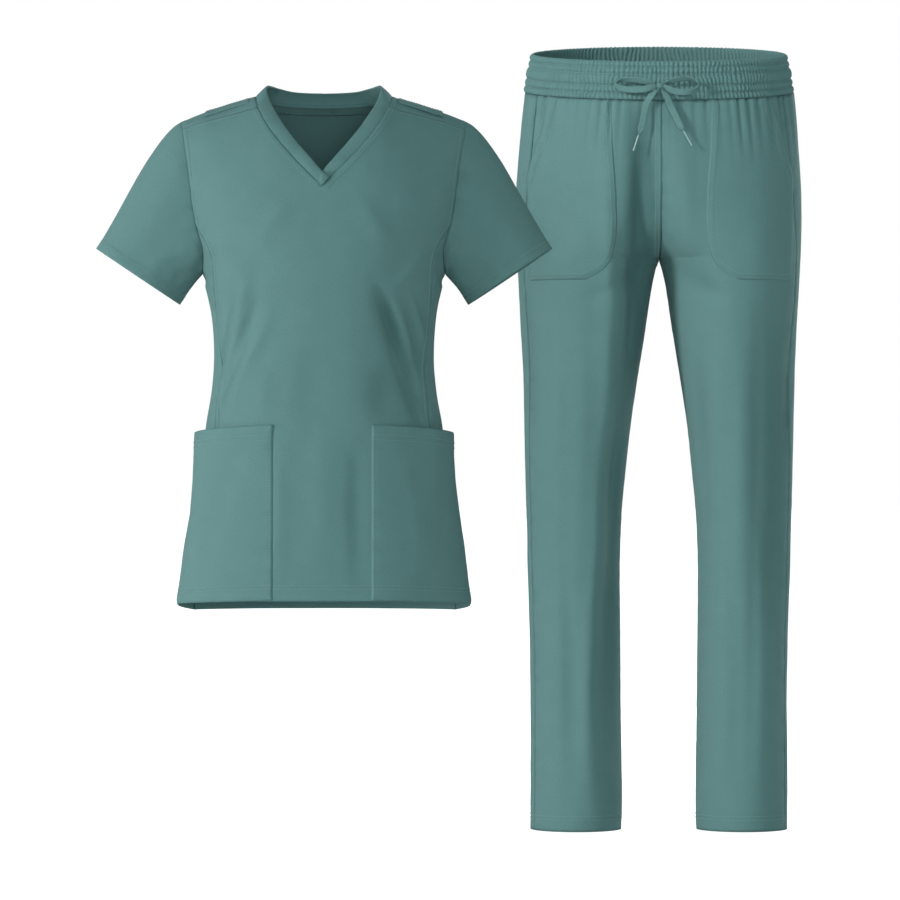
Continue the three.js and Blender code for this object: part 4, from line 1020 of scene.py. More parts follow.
def makeTopFrontAndBack():
    # front and back bodies: level rows up to the side panels, then a fan up to each shoulder
    for face, name, inner, outer, corner, pitch, folds, drapes in (
        (1, "top_front", frontInner, frontOuter, 2, top["pitch"], torsoFrontFolds, torsoFrontDrape),
        (-1, "top_back", backInner, backOuter, 6, top["backPitch"], torsoBackFolds, torsoBackDrape),
    ):
        columns = int(150 / pitch)
        low = hemHeight(face)
        heights = np.linspace(low, top["sideTop"], int((top["sideTop"] - low) / pitch) + 1)
        level = levelGrid(face, columns, heights)
        perRow = int(round(20 / pitch)) if face > 0 else int(round(16 / pitch))
        left = fanGrid(-1, face, inner, outer, columns, perRow, corner)
        right = fanGrid(1, face, inner, outer, columns, perRow, corner)
        neckStart = corner * perRow
        neckEdges = [left[neckStart:, 0], right[neckStart:, 0]]
        seams = [
            (level[:, 0], (6.0,), 0.7), (level[:, -1], (6.0,), 0.7),
            (level[0], (14.4, 19.5), 0.5),
            (left[:, -1], (6.0,), 0.5), (right[:, -1], (6.0,), 0.5),
            (left[-1], (5.0,), 0.6), (right[-1], (5.0,), 0.6),
            (neckEdges[0], (6.5,), 0.6), (neckEdges[1], (6.5,), 0.6),
        ]
        flip = face < 0
        grids = [(level, flip), (left, not flip), (right, flip)]
        piece = makePanel(name, grids, top["wall"], seams, 11 if face > 0 else 23,
                          paintedShadeOf=lambda points, f=folds, d=drapes: troughShade(points, f, d))
        tree = surfaceTree(piece)
        middle = level[len(level) // 2, columns]
        for path, distance, ends in (
            (level[0], 14.4, (1, 1)), (level[0], 19.5, (1, 1)),
            (neckEdges[0], 6.5, (3, 3)), (neckEdges[1], 6.5, (3, 3)),
            (left[:, -1], 6.0, (1, 3)), (right[:, -1], 6.0, (1, 3)),
            (left[-1], 5.0, (6, 6)), (right[-1], 5.0, (6, 6)),
            (level[:, 0], 6.0, (1, 1)), (level[:, -1], 6.0, (1, 1)),
        ):
            sewRow("top", tree, besidePath(tree, path, distance, middle), ends)
        for path in (level[:, 0], level[:, -1], left[:, -1], right[:, -1], left[-1], right[-1], *neckEdges):
            layAllowance("top", tree, path, top["wall"])
        print(name, "made:", len(piece.data.polygons), "faces")




def armpitCurve(side, count):
    # lower armhole: half a wave down from the side's top, front to back
    x = float(read(armhole, "z", np.array(float(top["sideTop"])), "x"))
    front = torsoPoint(side * x, turnAt(x, top["sideTop"], 1))
    back = torsoPoint(side * x, turnAt(x, top["sideTop"], -1))
    angle = np.linspace(0, math.pi, count + 1)
    z = top["sideTop"] - top["armpitDrop"] * np.sin(angle)
    y = lerp(front[1], back[1], (1 - np.cos(angle)) / 2)
    curve = np.stack([side * read(armhole, "z", z, "x"), y, z], axis=1)
    curve[0] = front
    curve[-1] = back
    return curve


def sidePanelGrid(side, columns, perStep):
    # level rings below the armpit, then rows that rise to the armpit's curve
    share = np.linspace(0, 1, columns + 1)[None, :]
    low = np.linspace(0, 1, int((top["sideRingTop"] - top["hemCentre"]) / perStep) + 1)[:, None]
    z = lerp(lerp(hemHeight(1), hemHeight(-1), share), float(top["sideRingTop"]), low)
    x = read(sideSeam, "z", z, "x")
    angle = ringAngle(x, z)
    grid = ringPoint(side, lerp(angle, -angle, share), z)
    grid[:, 0] = torsoPoint(side * x[:, 0], turnAt(x[:, 0], z[:, 0], 1))
    grid[:, -1] = torsoPoint(side * x[:, -1], turnAt(x[:, -1], z[:, -1], -1))
    rise = np.linspace(0, 1, int((top["sideTop"] - top["sideRingTop"]) / perStep) + 1)[1:, None]
    heights = lerp(float(top["sideRingTop"]), float(top["sideTop"]), rise[:, 0])
    edgeX = read(sideSeam, "z", heights, "x")
    curve = armpitCurve(side, columns)
    upper = lerp(grid[-1][None], curve[None], rise[..., None])
    for column, face, weight in ((0, 1, (1 - share[0]) ** 3), (-1, -1, share[0] ** 3)):
        edge = torsoPoint(side * edgeX, turnAt(edgeX, heights, face))
        upper = upper + (edge - upper[:, column])[:, None] * weight[None, :, None]
    return np.concatenate([grid, upper]), curve


def makeSidePanels():
    for side, label in ((-1, "left"), (1, "right")):
        grid, curve = sidePanelGrid(side, 28, top["sidePitch"])
        seams = [
            (grid[:, 0], (), 1.0), (grid[:, -1], (), 1.0), (curve, (), 1.0), (grid[0], (14.4, 19.5), 0.5),
        ]
        name = "side_panel_" + label
        piece = makePanel(name, [(grid, side < 0)], top["wall"], seams, 11, broad=0.4)
        tree = surfaceTree(piece)
        for height in (14.4, 19.5):
            sewRow("top", tree, besidePath(tree, grid[0], height, grid[len(grid) // 2, 14]), (1, 1))
        layAllowance("top", tree, curve, top["wall"])
        print(name, "made")


# Sleeves: folds by share from armhole to cuff (0 to 1) and by angle from the top, in radians
sleeveFolds = [
    # along0, angle0, along1, angle1, width in radians, height
    (0.05, 2.3, 0.75, 1.75, 0.16, -2.2), (0.0, 2.75, 0.6, 2.35, 0.15, 1.8), (0.1, -2.3, 0.8, -1.8, 0.17, -2.2),
    (0.0, -2.8, 0.6, -2.4, 0.15, 1.6), (0.0, 0.9, 0.5, 1.1, 0.3, -1.0), (0.2, 0.2, 1.0, 0.5, 0.4, 0.8),
    (0.3, -0.9, 1.0, -0.7, 0.35, -1.0), (0.5, 1.5, 1.0, 1.4, 0.25, 0.9),
]


def sleeveRing(side):
    # the armhole all round, starting on the ridge and going down its front
    def edge(rows, start, end, count):
        at = np.linspace(start, end, count)
        return torsoPoint(side * read(rows, "at", at, "x"), read(rows, "at", at, "turn"))
    lower = armpitCurve(side, 60)
    ring = np.concatenate([
        edge(backOuter, 11, 13, 12), edge(frontOuter, 8, 0, 70)[1:], lower[1:], edge(backOuter, 0, 11, 80)[1:]])
    walked = alongPath(ring)
    armpit = 12 + 69 + 34  # place of the lowest point in the ring
    return ring, walked, walked[armpit]


def makeSleeves():
    # smooth cubic paths from each armhole point to the matching point of the cuff's ellipse
    for side, label in ((-1, "left"), (1, "right")):
        ring, walked, bottom = sleeveRing(side)
        around = int(walked[-1] / cuff["pitch"])
        at = np.linspace(0, walked[-1], around + 1)
        start = np.stack([np.interp(at, walked, ring[:, k]) for k in range(3)], axis=1)
        start[-1] = start[0]
        angle = np.where(at <= bottom, math.pi * at / bottom,
                         math.pi * (1 + (at - bottom) / (walked[-1] - bottom)))
        reach = np.cos(angle) * cuff["along"]
        end = np.stack([side * (cuff["x"] + reach * cuff["tipX"]), cuff["y"] - np.sin(angle) * cuff["deep"],
                        cuff["z"] + reach * cuff["tipZ"]], axis=1)
        size = np.linalg.norm(end - start, axis=1)[:, None]
        high = ((1 + np.cos(angle)) / 2)[:, None]
        zero = np.zeros_like(high)
        leave = np.concatenate([side * lerp(0.62, 0.55, high), zero, -lerp(0.62, 0.3, high)], axis=1) * size
        arrive = np.array([side * cuff["tipZ"], 0, -cuff["tipX"]]) * lerp(1, 0.95, high) * size
        rows = int(size.mean() / cuff["pitch"]) + 1
        t = np.linspace(0, 1, rows + 1)[:, None, None]
        grid = start * (1 + 2 * t) * (1 - t) ** 2 + end * t * t * (3 - 2 * t)
        grid = grid + leave * t * (1 - t) ** 2 - arrive * t * t * (1 - t)
        name = "sleeve_" + label
        along = np.broadcast_to(t[..., 0], grid.shape[:2])
        turn = np.broadcast_to(np.where(angle > math.pi, angle - 2 * math.pi, angle), grid.shape[:2])
        relief = np.zeros(grid.shape[:2])
        for along0, angle0, along1, angle1, width, height in sleeveFolds:
            s = np.clip((along - along0) / (along1 - along0), 0, 1)
            off = (turn - lerp(angle0, angle1, s) + math.pi) % (2 * math.pi) - math.pi
            ends = smoothStep(along0 - 0.15, along0 + 0.15, along) * (1 - smoothStep(along1 - 0.1, along1 + 0.25, along))
            relief = relief + height * np.exp(-(off / width) ** 2) * ends
        relief = relief * smoothStep(0.0, 0.12, along)
        down = np.gradient(grid, axis=0)
        around3 = np.gradient(grid, axis=1)
        around3[:, 0] = around3[:, -1] = grid[:, 1] - grid[:, -2]
        outward = unit(np.cross(around3, down)) * -side
        grid = grid + outward * relief[..., None]
        # behind its seam the sleeve goes on a little way inside the body
        edge = grid[0]
        inward = unit(edge.mean(axis=0) - edge)
        lap = [edge - unit(leave) * 3.4 * s + inward * 2.0 * s ** 0.5 for s in (1.0, 0.5)]
        grid = np.concatenate([np.stack(lap), grid])
        seams = [(edge, (), 0.5), (grid[-1], (12.4,), 0.4)]
        piece = makePanel(name, [(grid, side < 0)], top["wall"], seams, 53 + side, broad=0.5)
        tree = surfaceTree(piece)
        sewRow("top", tree, besidePath(tree, grid[-1], 12.4, edge.mean(axis=0)))
        print(name, "made")


def edgeOfBand(side, at):
    # seam and free edge of the neckband at numbered rows, from the V (0) to the centre back (13)
    frontCount, ridgeCount = len(neckFront["x"]), len(neckRidge["x"])
    x = neckFront["x"] + neckRidge["x"] + neckBack["x"]
    turns = [float(turnAt(np.array(float(a)), np.array(float(b)), 1)) for a, b in zip(neckFront["x"], neckFront["z"])]
    turns += neckRidge["turn"]
    turns += [float(turnAt(np.array(float(a)), np.array(float(b)), -1)) for a, b in zip(neckBack["x"], neckBack["z"])]
    table = {"at": np.arange(len(x)), "x": x, "turn": turns}
    for column in ("edgeX", "edgeY", "edgeZ"):
        table[column] = neckFront[column] + neckRidge[column] + neckBack[column]
    seam = torsoPoint(side * read(table, "at", at, "x"), read(table, "at", at, "turn"))
    edge = np.stack([side * read(table, "at", at, "edgeX"), seam[:, 1] + read(table, "at", at, "edgeY"),
                     read(table, "at", at, "edgeZ")], axis=1)
    face = 1 - 2 * smoothStep(frontCount - 0.5, frontCount + ridgeCount - 0.5, at)
    return seam, edge, face


band = {"across": 12, "perRow": 12, "crown": 1.1, "endRaise": 1.5, "tuck": 1.8, "underlap": 3.2, "sunk": 1.6}


def torsoMiddle(points):
    # the point of the body's upright middle line level with each point, a little lower
    return points * [0.5, 0, 1] + [0, 0, -30]


def makeNeckband():
    # a doubled strip: across it runs from seam to free edge with a soft crown, thin at the seam
    last = len(neckFront["x"]) + len(neckRidge["x"]) + len(neckBack["x"]) - 1
    across = np.linspace(0, 1, band["across"] + 1)[None, :, None]
    grids = []
    paths = []
    for side in (-1, 1):
        at = np.linspace(1 if side > 0 else 0, last, (last - (side > 0)) * band["perRow"] + 1)
        seam, edge, face = edgeOfBand(side, at)
        bulge = np.stack([np.zeros_like(face), -band["crown"] * face, 0.5 + 0 * face], axis=1)
        start = at
        if side < 0:
            # the left end runs on over the right strip to its outer seam
            seamEnd, edgeEnd, faceEnd = edgeOfBand(1, np.array([1.0]))
            count = band["perRow"]
            t = np.linspace(0, 1, count, endpoint=False)[:, None]
            seam = np.concatenate([lerp(lerp(seam[:1], seamEnd, 0.1), seam[:1], t), seam])
            edge = np.concatenate([lerp(lerp(seamEnd, edgeEnd, 0.06), edge[:1], t), edge])
            bulge = np.concatenate([np.repeat(bulge[:1], count, axis=0), bulge])
            start = np.concatenate([np.linspace(-1, 0, count, endpoint=False), at])
            raised = (1 - smoothStep(0.2, 1.6, start)) * band["endRaise"]
        else:
            # the right end tucks under it
            seam0, edge0, _face = edgeOfBand(-1, np.array([0.6]))
            count = band["perRow"] // 2
            t = np.linspace(0, 1, count, endpoint=False)[:, None]
            seam = np.concatenate([lerp(seam0, seam[:1], t), seam])
            edge = np.concatenate([lerp(edge0 * [1, 1, 1] - [0, 0, 6.0], edge[:1], t), edge])
            bulge = np.concatenate([np.repeat(bulge[:1], count, axis=0), bulge])
            start = np.concatenate([np.linspace(0, 1, count, endpoint=False), at])
            raised = -(1 - smoothStep(0.8, 2.2, start)) * band["tuck"]
        grid = lerp(seam[:, None], edge[:, None], across)
        grid = grid + np.sin(np.pi * across) ** 0.8 * bulge[:, None]
        grid[:, :, 1] -= raised[:, None]
        # past its seam the strip goes on a little way inside the body
        middle = torsoMiddle(grid[:, 0])
        away = unit(grid[:, 0] - grid[:, 1])
        inward = unit(middle - grid[:, 0])
        tuck = [grid[:, 0] + away * band["underlap"] * s + inward * band["sunk"] * s ** 0.5 for s in (1.0, 0.5)]
        grid = np.concatenate([np.stack(tuck, axis=1), grid], axis=1)
        grids.append((grid, side > 0))
        paths.append((grid[:, 2], grid[:, -1]))
    seams = [(path[0], (), 0.5) for path in paths] + [(path[1], (), 0.4) for path in paths]
    piece = makePanel("neckband", grids, top["bandWall"], seams, 71, broad=0.25, fine=0.12)
    print("neckband made")
    return piece


def laidOn(surface, u, v, lift, step=0.5):
    # points of a surface moved along its outside normal, found from small steps both ways
    point = surface(u, v)
    alongU = surface(u + step, v) - surface(u - step, v)
    alongV = surface(u, v + step) - surface(u, v - step)
    return point + unit(np.cross(alongU, alongV)) * np.asarray(lift)[..., None]


tape = {"half": 76, "high": 8, "drop": 2, "gap": 0.4, "wall": 1.0, "columns": 100, "rows": 8}
shoulderLoop = {"from": 92, "to": 147, "front": 0.33, "back": 0.02, "gap": 0.1, "crown": 0.4, "wall": 0.9,
                "columns": 46, "rows": 20}


def makeNeckTape():
    # strip inside the back neck, just below the band, following the body's inside
    def surface(x, z):
        return torsoPoint(x, turnAt(x, z, -1))
    rows = {"x": neckBack["x"][::-1], "z": neckBack["z"][::-1]}
    x = np.linspace(-tape["half"], tape["half"], tape["columns"] + 1)[None, :]
    down = np.linspace(0, 1, tape["rows"] + 1)[:, None]
    x, down = np.broadcast_arrays(x, down)
    z = read(rows, "x", np.abs(x), "z") - tape["drop"] - down * tape["high"]
    crown = 0.3 * np.sin(np.pi * down)
    grid = laidOn(surface, x, z, top["wall"] + tape["gap"] + tape["wall"] + crown)
    seams = [(grid[0], (1.5,), 0.3), (grid[-1], (1.5,), 0.3)]
    piece = makePanel("neck_tape", [(grid, True)], tape["wall"], seams, 83, broad=0.1, fine=0.06)
    tree = surfaceTree(piece)
    middle = grid[len(grid) // 2].mean(axis=0)
    for row in (grid[0], grid[-1]):
        sewRow("top", tree, besidePath(tree, row, 1.5, middle))
    print("neck tape made")


def makeShoulderLoops():
    # strap of doubled cloth along the shoulder, sewn at its outer end
    for side, label in ((-1, "left"), (1, "right")):
        def surface(x, turn):
            return torsoPoint(x, turn / 100)
        share = np.linspace(0, 1, shoulderLoop["columns"] + 1)[None, :]
        across = np.linspace(0, 1, shoulderLoop["rows"] + 1)[:, None]
        share, across = np.broadcast_arrays(share, across)
        turn = lerp(shoulderLoop["back"], shoulderLoop["front"], across) * 100
        x = side * lerp(float(shoulderLoop["from"]), float(shoulderLoop["to"]), share)
        lift = shoulderLoop["gap"] + shoulderLoop["wall"] + shoulderLoop["crown"] * np.sin(np.pi * share)
        grid = laidOn(surface, x, turn, -lift)
        name = "shoulder_loop_" + label
        seams = [(grid[:, -1], (3.0, 8.0), 0.5), (grid[0], (2.0,), 0.4), (grid[-1], (2.0,), 0.4)]
        piece = makePanel(name, [(grid, side > 0)], shoulderLoop["wall"], seams, 91, broad=0.2, fine=0.1)
        tree = surfaceTree(piece)
        middle = grid.reshape(-1, 3).mean(axis=0)
        for path, offset in ((grid[:, -1], 3.0), (grid[:, -1], 8.0), (grid[0], 2.0), (grid[-1], 2.0)):
            sewRow("top", tree, besidePath(tree, path, offset, middle), (2, 2))
        print(name, "made")


topPocket = {
    "inner": 60, "top": -403, "sag": 16, "gape": 12, "wrapTop": -0.42, "wrapHem": -0.05,
    "gap": 0.5, "wall": 1.0, "flat": 1.15, "columns": 66, "rows": 82,
}
# Folds of a hem pocket: share across and down at both ends, width in shares and height
topPocketFolds = {
    "left": [(0.15, 0.0, 0.45, 0.75, 0.07, -1.6), (0.5, 0.1, 0.6, 0.9, 0.09, 1.3), (0.85, 0.05, 0.7, 0.8, 0.06, -1.5)],
    "right": [(0.2, 0.1, 0.35, 0.9, 0.07, 1.4), (0.6, 0.0, 0.45, 0.8, 0.08, -1.7), (0.85, 0.1, 0.75, 0.95, 0.06, 1.2)],
}


def makeTopPockets():
    # patch on the body's tube, its mouth standing off towards the side
    for side, label in ((-1, "left"), (1, "right")):
        across = np.linspace(0, 1, topPocket["columns"] + 1)[None, :]
        down = np.linspace(0, 1, topPocket["rows"] + 1)[:, None]
        across, down = np.broadcast_arrays(across, down)
        upper = topPocket["top"] - topPocket["sag"] * across ** 1.4
        z = lerp(upper, hemHeight(1 - across) + 1, down)
        start = ringAngle(float(topPocket["inner"]), z)
        angle = lerp(start, lerp(topPocket["wrapTop"], topPocket["wrapHem"], down), across)
        swell = np.sin(np.pi * across ** 1.7) * (1 - down) ** 0.8
        grid = ringPoint(side, angle, z)
        half = read(torso, "z", z, "half")
        depth = np.where(angle > 0, read(torso, "z", z, "front"), read(torso, "z", z, "back"))
        outward = unit(np.stack([grid[..., 0] / half ** 2, grid[..., 1] / depth ** 2, 0 * half], axis=2))
        relief = foldHeight(topPocketFolds[label], across, down)
        relief = relief * smoothStep(0, 0.08, across) * smoothStep(0, 0.08, 1 - across)
        relief = relief + topPocket["gape"] * swell
        grid = grid + outward * (topPocket["gap"] + topPocket["wall"] + relief)[..., None]
        name = "top_pocket_" + label
        seams = [
            (grid[0], (12.4, 18.6), 0.4), (grid[:, 0], (3.0,), 0.5), (grid[:, -1], (3.0,), 0.5),
            (grid[-1], (14.4, 19.5), 0.4),
        ]
        sewn = np.concatenate([grid[3:, 0], grid[-1], grid[3:, -1][::-1]])

        def sunkEdge(points):
            # the sewn edges lie down on the body
            return -topPocket["flat"] * (1 - smoothStep(0, 6, nearestOnPath(points, sewn)[0]))
        piece = makePanel(name, [(grid, side > 0)], topPocket["wall"], seams, 11, held=False, extra=sunkEdge)
        tree = surfaceTree(piece)
        middle = grid[len(grid) // 2, topPocket["columns"] // 2]
        for path, distance, ends in (
            (grid[0], 12.4, (2, 2)), (grid[0], 18.6, (2, 2)), (grid[:, 0], 3.0, (1, 1)),
            (grid[:, -1], 3.0, (1, 1)), (grid[-1], 14.4, (1, 1)), (grid[-1], 19.5, (1, 1)),
        ):
            sewRow("top", tree, besidePath(tree, path, distance, middle), ends)
        print(name, "made")


makeTopFrontAndBack()
makeSidePanels()
makeSleeves()
makeNeckband()
makeNeckTape()
makeShoulderLoops()
makeTopPockets()


# Trousers: x0, z0, x1, z1, width and height of the solids' own folds
legFrontFolds = [
    (-55, -45, -50, -250, 14, -3.5), (-49, -250, -66, -560, 14, -4.5), (-74, -560, -84, -800, 12, -3),
    (-100, -260, -105, -700, 14, 2.5), (150, -240, 140, -700, 14, -4), (70, -300, 66, -600, 12, 2.5),
    (14, -196, 84, -246, 14, -2.5), (-14, -196, -84, -246, 14, -2.5),
]
legBackFolds = [
    (20, -215, 100, -275, 18, -3.5), (-20, -215, -100, -275, 18, -3.5), (115, -300, 108, -650, 15, -3),
    (-112, -320, -104, -690, 15, -3.5),
]
legFrontDrape = [
    (-64, -20, -62, -230, -70, -460, 17, 3.4, 0.2), (-27, -40, -24, -230, -36, -470, 15, -4.6, 0.1),
    (-24, 10, -26, -110, -16, -210, 17, -4.6, 0.0), (-78, -420, -84, -600, -92, -860, 14, 2.2, 0.2),
    (-54, -400, -58, -560, -66, -800, 13, -3.0, 0.1),
    (78, -180, 82, -450, 78, -820, 22, 1.8, 0.0), (122, -230, 124, -480, 118, -820, 15, -2.0, 0.1),
    (24, -20, 26, -110, 40, -200, 16, 1.6, 0.0),
    (-16, -200, -60, -238, -120, -246, 7, -0.4, 0.2), (16, -200, 62, -240, 124, -250, 7, -0.4, -0.2),
    (-128, -260, -134, -420, -128, -640, 10, 1.4, 0.2), (-62, -300, -58, -450, -70, -620, 8, 1.2, -0.2),
    (44, -300, 58, -430, 62, -560, 9, -1.3, 0.2), (98, -290, 104, -450, 98, -640, 12, 1.2, 0.1),
    (-120, -560, -114, -700, -118, -880, 10, -1.2, 0.1), (-92, -600, -98, -720, -90, -890, 9, 1.1, 0.1),
    (90, -560, 96, -700, 88, -880, 10, -1.2, 0.1), (122, -500, 128, -680, 122, -880, 10, 1.1, 0.1),
    (-166, -240, -164, -340, -158, -430, 6, -1.2, 0.2), (168, -250, 165, -360, 158, -450, 6, -1.6, -0.2),
]
legBackDrape = [
    (-30, -230, -80, -262, -140, -256, 8, -0.9, 0.2), (30, -232, 84, -266, 144, -256, 8, -0.9, -0.2),
    (-40, -262, -86, -286, -140, -284, 8, 1.4, 0.2), (42, -264, 88, -290, 140, -288, 8, 1.4, -0.2),
    (-90, -380, -96, -460, -88, -560, 11, 1.5, 0.1), (92, -370, 98, -460, 86, -580, 11, 1.5, 0.1),
    (-120, -600, -114, -740, -122, -880, 11, -1.4, 0.1), (120, -590, 116, -740, 124, -880, 11, -1.4, 0.1),
    (-60, -40, -66, -100, -50, -160, 12, -1.3, 0.1), (62, -40, 70, -100, 52, -160, 12, -1.3, 0.1),
]
legCut = {
    "sideTurn": 0.42, "wall": 1.6, "frontColumns": 80, "backColumns": 60, "frontPitch": 4.0, "backPitch": 5.0,
    "hemRows": (14.4, 19.4),
}
# Gathers under the waistband: narrow ones at the seam itself, broad ones that run further down
legGathers = {"narrow": 1.5, "narrowFade": 18, "broad": 7.0, "broadPitch": 2.9, "broadFade": 86}


def legPoint(side, angle, row):
    # each leg is an ellipse by angle from the outside; the waist end is tilted up at the back
    angle, row = np.broadcast_arrays(np.asarray(angle, float), np.asarray(row, float))
    outer = read(leg, "z", row, "outer")
    inner = read(leg, "z", row, "inner")
    below = row <= trousers["crotch"]
    apart = np.where(below, 1, read(leg, "z", row, "apart"))
    half = np.where(below, (outer - inner) / 2, outer / (1 + apart))
    centre = np.where(below, (outer + inner) / 2, half * apart)
    depth = np.where(angle > 0, read(leg, "z", row, "front"), read(leg, "z", row, "back"))
    x = side * np.maximum(centre + half * np.cos(angle), inner)
    y = -depth * np.sin(angle)
    tilt = np.clip(1 + row / trousers["fade"], 0, 1) * (trousers["rise"] + trousers["tilt"] * y)
    share = np.clip(0.5 - y / 40, 0, 1)
    height = (foldHeight(legFrontFolds, x, row) + drapeGain * curvedFolds(legFrontDrape, x, row)) * share
    height = height + (foldHeight(legBackFolds, x, row) + drapeGain * curvedFolds(legBackDrape, x, row)) * (1 - share)
    fade = np.clip((np.abs(x) - inner) / 14, 0, 1)
    outward = unit(np.stack([(x - side * centre) / half ** 2, y / depth ** 2, np.zeros_like(x)], axis=-1))
    return np.stack([x, y, row + tilt], axis=-1) + outward * (height * fade)[..., None]


def gatherWave(around, level, seed):
    # broad ridges with narrow valleys, each of its own height, from about -0.6 to 0.4
    drift = 1.3 * unevenness(around, level, 21, seed) + 0.5 * unevenness(around, level * 2, 8, seed + 1)
    ridgeShape = np.abs(np.sin(around / bandShape["gatherPitch"] * math.pi + drift)) ** 0.75
    size = 0.85 + 0.4 * unevenness(around, level * 1.5, 9, seed + 2)
    return (ridgeShape - 0.6) * size


bandShape = {
    "gatherPitch": 5.0, "columns": 1060, "height": 48, "lean": 9, "wall": 2.2, "gatherHeight": 2.3,
    "innerRib": 1.5, "outerRows": 36, "innerRows": 11, "rollRows": 6,
}
channels = {"edge": (0.0, 0.18, 0.37, 0.67, 0.85, 1.0), "out": (2.3, 2.3, 3.2, 2.3, 2.2)}


def channelShape(rise):
    # each channel is a soft tube between two stitched rows: its fullness there, 0 to 1, and its reach
    edges = np.array(channels["edge"])
    k = np.clip(np.searchsorted(edges, rise, side="right") - 1, 0, len(edges) - 2)
    s = np.clip((rise - edges[k]) / (edges[k + 1] - edges[k]), 0, 1)
    full = (4 * s * (1 - s)) ** 0.55
    return full, np.array(channels["out"])[k] * full


def legGatherHeight(around, row):
    # the narrow and broad gathers added, each fading downwards from the seam
    narrow = np.clip(1 + row / legGathers["narrowFade"], 0, 1) ** 1.5
    broad = np.clip(1 + row / legGathers["broadFade"], 0, 1) ** 1.5
    reach = (0.55 + 0.45 * unevenness(around, 0 * around, 23, 7)) ** 1.4
    wide = gatherWave(around / legGathers["broadPitch"], row * 0.05 + 0 * around, 137)
    height = legGathers["broad"] * wide * broad * reach
    return height + legGathers["narrow"] * gatherWave(around, row * 0.1 + 0 * around, 131) * narrow


def legPaintedShade(points, folds=(), drapes=()):
    # painted shade of the gathers just under the band and of the leg's own troughs
    place = points - trousersPlace
    around = np.arctan2(-place[:, 1], place[:, 0]) * 140
    row = place[:, 2] - trousers["rise"] - trousers["tilt"] * place[:, 1]
    fade = np.clip(1 + row / legGathers["broadFade"], 0, 1) ** 1.5
    wide = gatherWave(around / legGathers["broadPitch"], row * 0.05, 137)
    return np.clip(-wide, 0, 0.6) * 0.5 * fade + troughShade(place, folds, drapes)


def innerAngle(row):
    return math.pi if row <= trousers["crotch"] else float(np.arccos(-read(leg, "z", np.array(float(row)), "apart")))


def makeLegPanels():
    # front and back of each leg, from the waist seam to the hem
    for side, label in ((-1, "left"), (1, "right")):
        for face, part, folds, drapes in (
            (1, "front", legFrontFolds, legFrontDrape), (-1, "back", legBackFolds, legBackDrape),
        ):
            columns = legCut[part + "Columns"]
            count = int(-trousers["hem"] / legCut[part + "Pitch"])
            rows = np.unique(np.concatenate([np.linspace(trousers["hem"], 0, count), [trousers["crotch"]]]))[::-1]
            ends = np.array([face * innerAngle(row) for row in rows])[:, None]
            share = np.linspace(0, 1, columns + 1)[None, :]
            angle = lerp(legCut["sideTurn"], ends, share)
            grid = legPoint(side, angle, rows[:, None])
            grid[:, -1, 0] = np.where(rows >= trousers["crotch"], 0.0, grid[:, -1, 0])
            around = np.arctan2(-grid[..., 1], grid[..., 0]) * 140
            centre = unit(grid * [1, 1, 0])
            ends = smoothStep(0, 0.04, share) * smoothStep(0, 0.04, 1 - share)
            grid = grid + centre * (legGatherHeight(around, rows[:, None]) * ends)[..., None]
            grid = grid + trousersPlace
            riseEnd = int(np.argmax(rows < trousers["crotch"]))
            rise = grid[:riseEnd, -1]
            inseam = grid[riseEnd - 1:, -1]
            riseRows = (3.0, 8.0) if side < 0 else ()
            seams = [
                (grid[:, 0], (), 0.9), (rise, riseRows, 0.6), (inseam, (), 0.9),
                (grid[-1], legCut["hemRows"], 0.4), (grid[0], (), 0.6),
            ]
            if side < 0 and face > 0:
                slit = grid[(rows < -14) & (rows > -78), 0]
                seams.append((slit, (), 4.0))
            name = f"leg_{part}_{label}"
            piece = makePanel(name, [(grid, side * face < 0)], legCut["wall"], seams, 151 + side + 5 * face,
                              broad=0.5, fine=0.14,
                              paintedShadeOf=lambda points, f=folds, d=drapes: legPaintedShade(points, f, d))
            tree = surfaceTree(piece)
            middle = grid[len(grid) // 2, columns // 2]
            for distance in legCut["hemRows"]:
                sewRow("trousers", tree, besidePath(tree, grid[-1], distance, middle), (1, 1))
            for distance in riseRows:
                sewRow("trousers", tree, besidePath(tree, rise, distance, middle), (2, 6))
            for path in (grid[:, 0], rise, inseam, grid[0]):
                layAllowance("trousers", tree, path, legCut["wall"])
            print(name, "made:", len(piece.data.polygons), "faces")


def waistPoint(angle, rise, out):
    # ellipse of the waist, leaning in with its rise and tilted up at the back
    lean = bandShape["lean"] * rise
    half = read(leg, "z", np.array(5.0), "outer") - lean + out
    front = read(leg, "z", np.array(5.0), "front")
    back = read(leg, "z", np.array(5.0), "back")
    depth = np.where(np.sin(angle) > 0, front, back) - lean * 0.5 + out
    y = -depth * np.sin(angle)
    z = trousers["rise"] + trousers["tilt"] * y + rise * bandShape["height"]
    return np.stack([half * np.cos(angle), y, z], axis=-1)


def valueOfJoined(grid, values):
    # the value of each joined point, found again by its rounded place
    keys = np.round(grid.reshape(-1, 3) * 100).astype(np.int64)
    _kept, first = np.unique(keys, axis=0, return_index=True)
    return np.clip(values.reshape(-1)[first], 0, 1)


